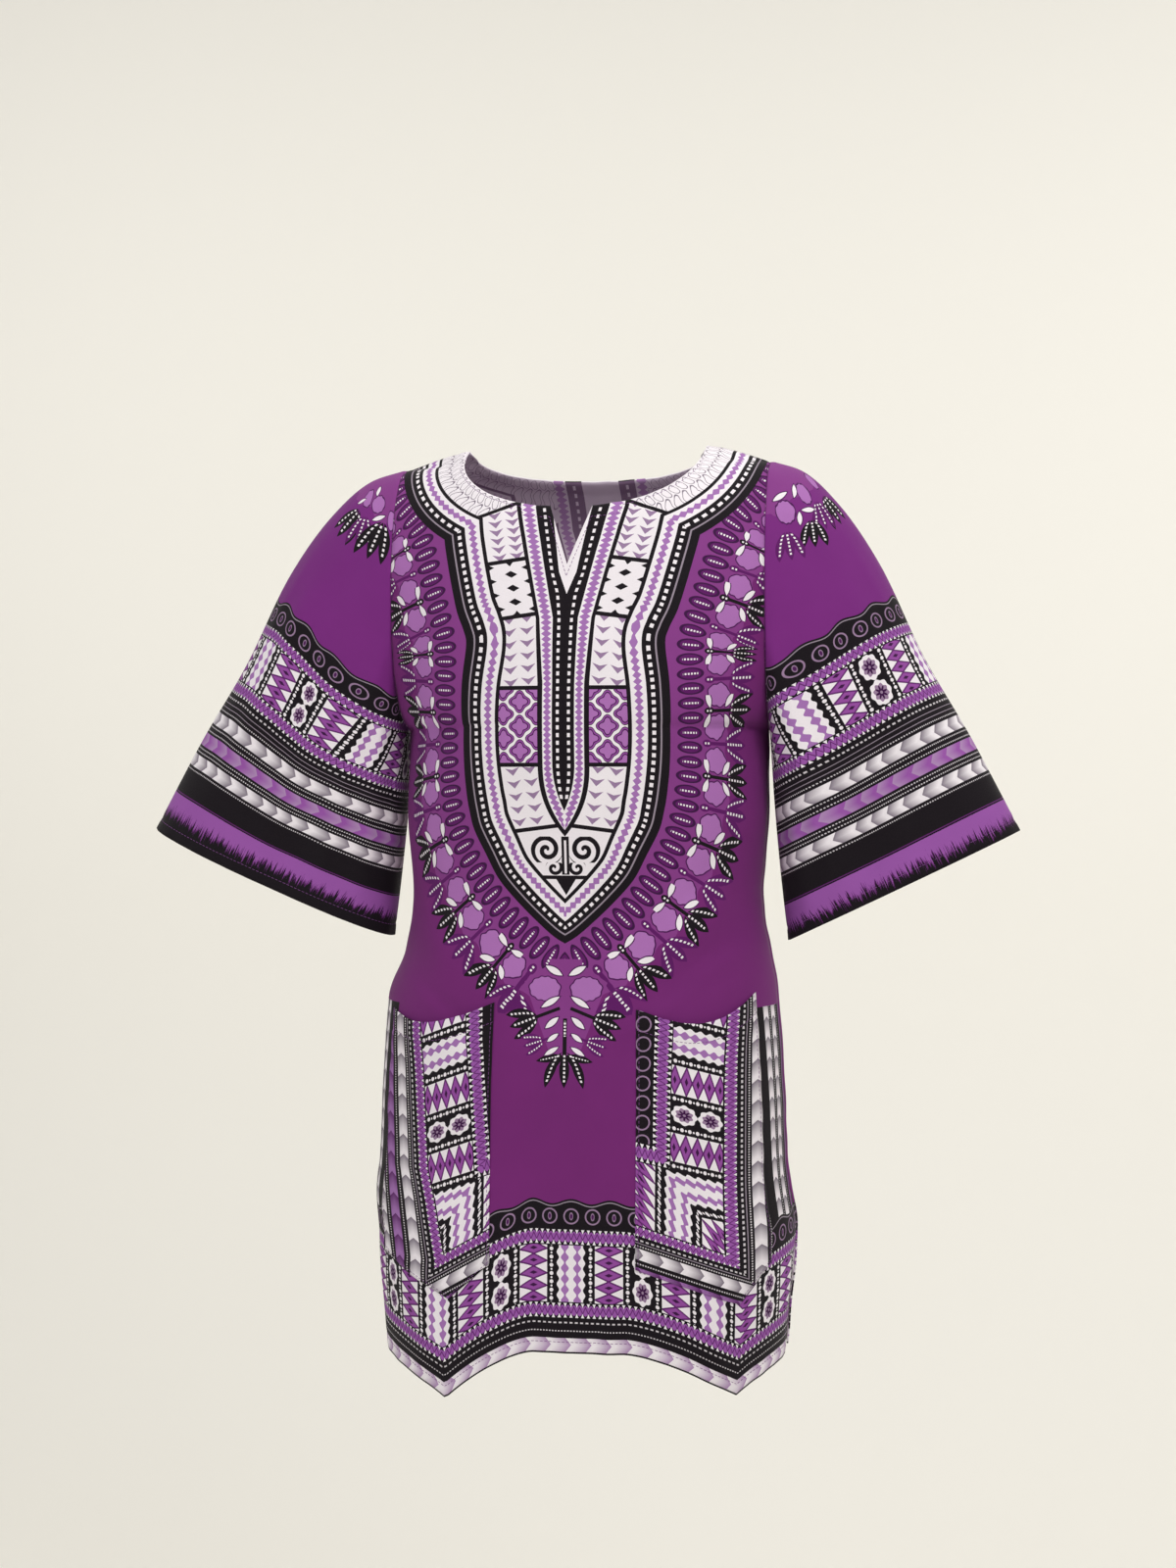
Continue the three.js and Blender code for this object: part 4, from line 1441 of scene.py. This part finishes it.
def make_sleeve(name, side, columns, rows):
    down = np.linspace(0, 1, rows + 1) ** 1.05
    outer_line = np.array([along_rows(SLEEVE_OUTER, t) for t in down])
    inner_line = np.array([along_rows(SLEEVE_INNER, t) for t in down])
    start = SLEEVE_OUTER[0][0]
    outer_line[:, 0] = start + (outer_line[:, 0] - start) * SLEEVE_REACH[side]
    outer_line[:, 0] += SLEEVE_SWELL[side] * np.sin(math.pi * down)
    # Columns start and end under the arm, and the outer edge is in the middle
    round_ = np.linspace(-math.pi, math.pi, columns + 1)
    turn, drop = np.meshgrid(round_, down, indexing="ij")
    power = 2 / ARMHOLE_CURVE
    across = np.sign(np.cos(turn)) * np.abs(np.cos(turn)) ** power
    deep = np.sign(np.sin(turn)) * np.abs(np.sin(turn)) ** power
    rise = np.zeros_like(turn)
    for degrees, at, length, width, height in SLEEVE_FOLDS + SLEEVE_CREASES[side]:
        gap = (math.radians(degrees) - turn + math.pi) % (2 * math.pi) - math.pi
        reach = gap * 85 / width
        along = (drop - at) / (length / 2)
        rise += height * np.exp(-reach ** 2) * np.exp(-along ** 4)
    middle = (outer_line + inner_line) / 2
    reach = (outer_line - inner_line) / 2
    half_depth = ARMHOLE_DEPTH + (CUFF_HALF_DEPTH - ARMHOLE_DEPTH) * drop
    x = middle[None, :, 0] + reach[None, :, 0] * across
    z = middle[None, :, 1] + reach[None, :, 1] * across
    y = -deep * (half_depth + rise)
    grid = np.stack([x, y, z], axis=-1)
    cuff = outer_line[-1] - inner_line[-1]
    cuff /= np.linalg.norm(cuff)
    up = np.array([-cuff[1], cuff[0]])
    if up[1] < 0:
        up = -up
    above = (x - outer_line[-1][0]) * up[0] + (z - outer_line[-1][1]) * up[1]
    around = sleeve_around(outer_line, inner_line, cuff, up, x, y, z, above)
    grid[..., 0] *= side
    if side > 0:
        grid, above, around = grid[::-1], above[::-1], around[::-1]
        drop = drop[::-1]
    normals = grid_normals(grid, True)
    if (normals[..., 1] * grid[..., 1]).sum() < 0:
        normals = -normals
    seam_row = np.zeros(drop.shape, bool)
    seam_row[:, 0] = True
    flatten(normals, seam_row, 0)
    length = np.linalg.norm(outer_line[-1] - outer_line[0])
    edge = np.abs(above)
    from_seam = drop * length * 0.7
    ripple = 0.25 * np.sin(around / 5.1 + 2 * np.sin(around / 19)) + 0.14 * np.sin(around / 2.7)
    shift = ripple * fading(edge, 15)
    shift -= GROOVE_DEPTH * fading(edge - HEM_WIDTH + HEM_STEP, GROOVE_REACH)
    shift -= SEAM_DEPTH * fading(from_seam, SEAM_REACH)
    seam_wave = np.sin(around / 6.3 + 1.5 * np.sin(around / 29))
    shift += PULL_HEIGHT * seam_wave * fading(from_seam, PULL_REACH)
    grid = grid + normals * shift[..., None]
    grid[-1] = grid[0]
    over_edge = 0.8 * np.maximum(40 - np.abs(grid[..., 1]), 0)
    maps = {
        "cloth": (around, above),
        "top": (np.abs(grid[..., 0]) - SHOULDER_X + over_edge, grid[..., 2]),
    }
    plain_zone = np.zeros((columns, rows))
    piece = make_shell(name + "_cloth", grid, normals, hem_thickness(edge), True, maps, plain_zone)
    lines = [crossings(grid, normals, above, HEM_WIDTH - STITCH_INSET, last=True)]
    return piece, make_stitches("stitches_" + name, lines)


def make_pocket(name, side, columns, rows):
    # The pocket's own outline, level past its sides, as on the solids
    point = POCKET_POINT[side]
    across = np.linspace(0, 1, columns + 1)
    corner = (point - POCKET_INNER) / (POCKET_OUTER - POCKET_INNER)
    nearest = np.argmin(np.abs(across - corner))
    across[nearest] = corner
    low = POCKET_INNER + (POCKET_OUTER - POCKET_INNER) * across
    if side > 0:
        top = -454 + 10 * across ** 4 - 12 * np.sin(math.pi * across ** 1.1)
    else:
        top = -450 - 19 * np.sin(math.pi / 2 * np.minimum(across / 0.72, 1))
        top += 8 * np.clip((across - 0.72) / 0.28, 0, 1) ** 1.5
    bottom = np.where(
        across < corner,
        -653 - 31 * across / corner,
        -684 + 29 * (across - corner) / (1 - corner),
    )
    t = np.linspace(0, 1, rows + 1)
    z = top[:, None] + (bottom - top)[:, None] * t[None, :]
    low_grid = np.broadcast_to(low[:, None] * side, z.shape)
    share = column_share(low_grid, low_grid, z)
    if side < 0:
        share, z, top, bottom, across = share[::-1], z[::-1], top[::-1], bottom[::-1], across[::-1]
    base = panel_point("front", share, z)
    normals = grid_normals(base, False)
    arc = read_arc(ARC["front"], share, z)
    from_top = top[:, None] - z
    from_bottom = z - bottom[:, None]
    from_ends = np.minimum(np.abs(arc - arc[:1]), np.abs(arc - arc[-1:]))
    edge = np.minimum(np.minimum(from_top, from_bottom), from_ends)
    gape = POCKET_GAPE * np.sin(math.pi * across)[:, None] ** 0.7 * fading(from_top, 26)
    sewn = np.minimum(from_bottom, from_ends)
    pinch = GROOVE_DEPTH * fading(sewn - STITCH_INSET, 1.4)
    pucker = 0.28 * np.sin((arc + z) / 4.6) * fading(sewn, 10)
    lift = POCKET_LIFT + gape - pinch + pucker - GROOVE_DEPTH * fading(from_top - 17, 1.5)
    grid = base + normals * lift[..., None]
    maps = {"cloth": (arc, z)}
    thickness = 0.55 + 0.3 * (1 - ease(6, 8, edge))
    plain_zone = np.zeros((columns, rows))
    piece = make_shell(name + "_cloth", grid, normals, thickness, False, maps, plain_zone)
    from_start = np.abs(arc - arc[:1])
    from_end = np.abs(arc - arc[-1:])
    lines = [
        crossings(grid, normals, from_bottom + 0 * arc, STITCH_INSET, last=True),
        crossings(grid, normals, from_top + 0 * arc, 15.0),
        crossings(*swapped(grid, normals, from_start), STITCH_INSET),
        crossings(*swapped(grid, normals, from_end), STITCH_INSET, last=True),
    ]
    return piece, make_stitches("stitches_" + name, lines)


EDGE_LINE, EDGE_ALONG = resample(YOKE_EDGE, 1.0)
PETALS_LINE, PETALS_ALONG = resample(PETAL_LINE, 1.0)
ARC = {"front": arc_table("front"), "back": arc_table("back")}

BODY_COUNTS = [4, 3, 6, 7, 6, 6, 5, 3, 2, 4, 4, 4, 3, 3]
BACK_COUNTS = [3, 3, 5, 6, 5, 5, 4, 3, 2, 3, 4, 3, 3, 3]

body_materials = cloth_materials("body_print", yoke_print, hem_print)
sleeve_materials = {
    1: cloth_materials("sleeve_print_left", lambda k: sleeve_print(k, 1), ground=SLEEVE_GROUND),
    -1: cloth_materials("sleeve_print_right", lambda k: sleeve_print(k, -1), ground=SLEEVE_GROUND),
}
pocket_materials = {
    1: cloth_materials("pocket_print_left", lambda k: pocket_print(k, 1)),
    -1: cloth_materials("pocket_print_right", lambda k: pocket_print(k, -1)),
}

thread = thread_material()
front, front_stitches = make_panel("front", BODY_COUNTS, 250)
dress(front, body_materials, "front")
back, back_stitches = make_panel("back", BACK_COUNTS, 190)
dress(back, body_materials, "back")
sleeves = {}
pockets = {}
for side, word in ((1, "left"), (-1, "right")):
    sleeves[side] = make_sleeve(f"sleeve_{word}", side, 150, 110)
    dress(sleeves[side][0], sleeve_materials[side], f"sleeve_{word}")
    pockets[side] = make_pocket(f"pocket_{word}", side, 48, 90)
    dress(pockets[side][0], pocket_materials[side], f"pocket_{word}")


# Stage, in metres
FLOOR_Z = -1.75
WALL_Y = 3.4
WALL_ROUND = 1.2
WALL_TOP = 5.0
STAGE_HALF = 7.0
CAMERA_TURN = 10
CAMERA_DISTANCE = 1.85
CAMERA_LEVEL = -0.278
SENSOR = 36.0
FOCAL_PIXELS = 2278
FRAME_HEIGHT = 1600
WALL_TINT = (1.0, 0.99, 0.97)
LIGHTS = [
    # name, place, aim, size, watts, colour
    ("key", (1.2, -1.8, 1.3), (0, 0, -0.3), (1.2, 1.2), 36, (1.0, 0.985, 0.965)),
    ("fill", (-2.0, -2.2, 0.4), (0, 0, -0.4), (1.8, 1.8), 20, (0.97, 0.98, 1.0)),
    ("top", (0.2, 0.4, 2.6), (0, 0, -0.2), (2.4, 2.4), 30, WALL_TINT),
]


def plain_material(name, colour, rough):
    material = bpy.data.materials.new(name)
    material.use_nodes = True
    shader = material.node_tree.nodes["Principled BSDF"]
    shader.inputs["Base Color"].default_value = linear(colour)
    shader.inputs["Roughness"].default_value = rough
    return material


def make_stage():
    """A plain pale floor that turns up into a wall well behind the cloth."""
    profile = [(-6.0, FLOOR_Z)]
    for k in range(13):
        angle = math.pi / 2 * k / 12
        y = WALL_Y - WALL_ROUND + WALL_ROUND * math.sin(angle)
        profile.append((y, FLOOR_Z + WALL_ROUND * (1 - math.cos(angle))))
    profile.append((WALL_Y, WALL_TOP))
    vertices = []
    for y, z in profile:
        vertices.extend([(-STAGE_HALF, y, z), (STAGE_HALF, y, z)])
    faces = [(2 * k, 2 * k + 1, 2 * k + 3, 2 * k + 2) for k in range(len(profile) - 1)]
    mesh = bpy.data.meshes.new("floor")
    mesh.from_pydata(vertices, [], faces)
    mesh.polygons.foreach_set("use_smooth", [True] * len(faces))
    floor = bpy.data.objects.new("floor", mesh)
    floor.data.materials.append(plain_material("floor_paint", (248, 246, 240), 0.9))
    bpy.context.scene.collection.objects.link(floor)


def add_light(name, place, aim, size, power, colour):
    data = bpy.data.lights.new(name, "AREA")
    data.shape = "RECTANGLE"
    data.size, data.size_y = size
    data.energy = power
    data.color = colour
    light = bpy.data.objects.new(name, data)
    light.location = place
    light.rotation_euler = (Vector(aim) - Vector(place)).to_track_quat("-Z", "Y").to_euler()
    bpy.context.scene.collection.objects.link(light)


def add_camera():
    azimuth = math.radians(CAMERA_TURN)
    data = bpy.data.cameras.new("camera")
    data.sensor_fit = "VERTICAL"
    data.sensor_height = SENSOR
    data.lens = SENSOR * FOCAL_PIXELS / FRAME_HEIGHT
    camera = bpy.data.objects.new("camera", data)
    across = math.sin(azimuth) * CAMERA_DISTANCE
    camera.location = (across, -math.cos(azimuth) * CAMERA_DISTANCE, CAMERA_LEVEL)
    camera.rotation_euler = (math.pi / 2, 0, azimuth)
    bpy.context.scene.collection.objects.link(camera)
    bpy.context.scene.camera = camera


make_stage()
for light in LIGHTS:
    add_light(*light)
for side in (1, -1):
    power = 25 + 4 * side
    place = (side * 2.4, 1.0, 1.0)
    aim = (side * 0.5, 3.6, 0.4)
    add_light(f"wall_{side + 1}", place, aim, (1.6, 2.4), power, WALL_TINT)
world = bpy.data.worlds.new("room")
world.use_nodes = True
world.node_tree.nodes["Background"].inputs[0].default_value = linear((236, 233, 226))
world.node_tree.nodes["Background"].inputs[1].default_value = 0.42
bpy.context.scene.world = world
add_camera()
bpy.context.scene.view_settings.view_transform = "Standard"
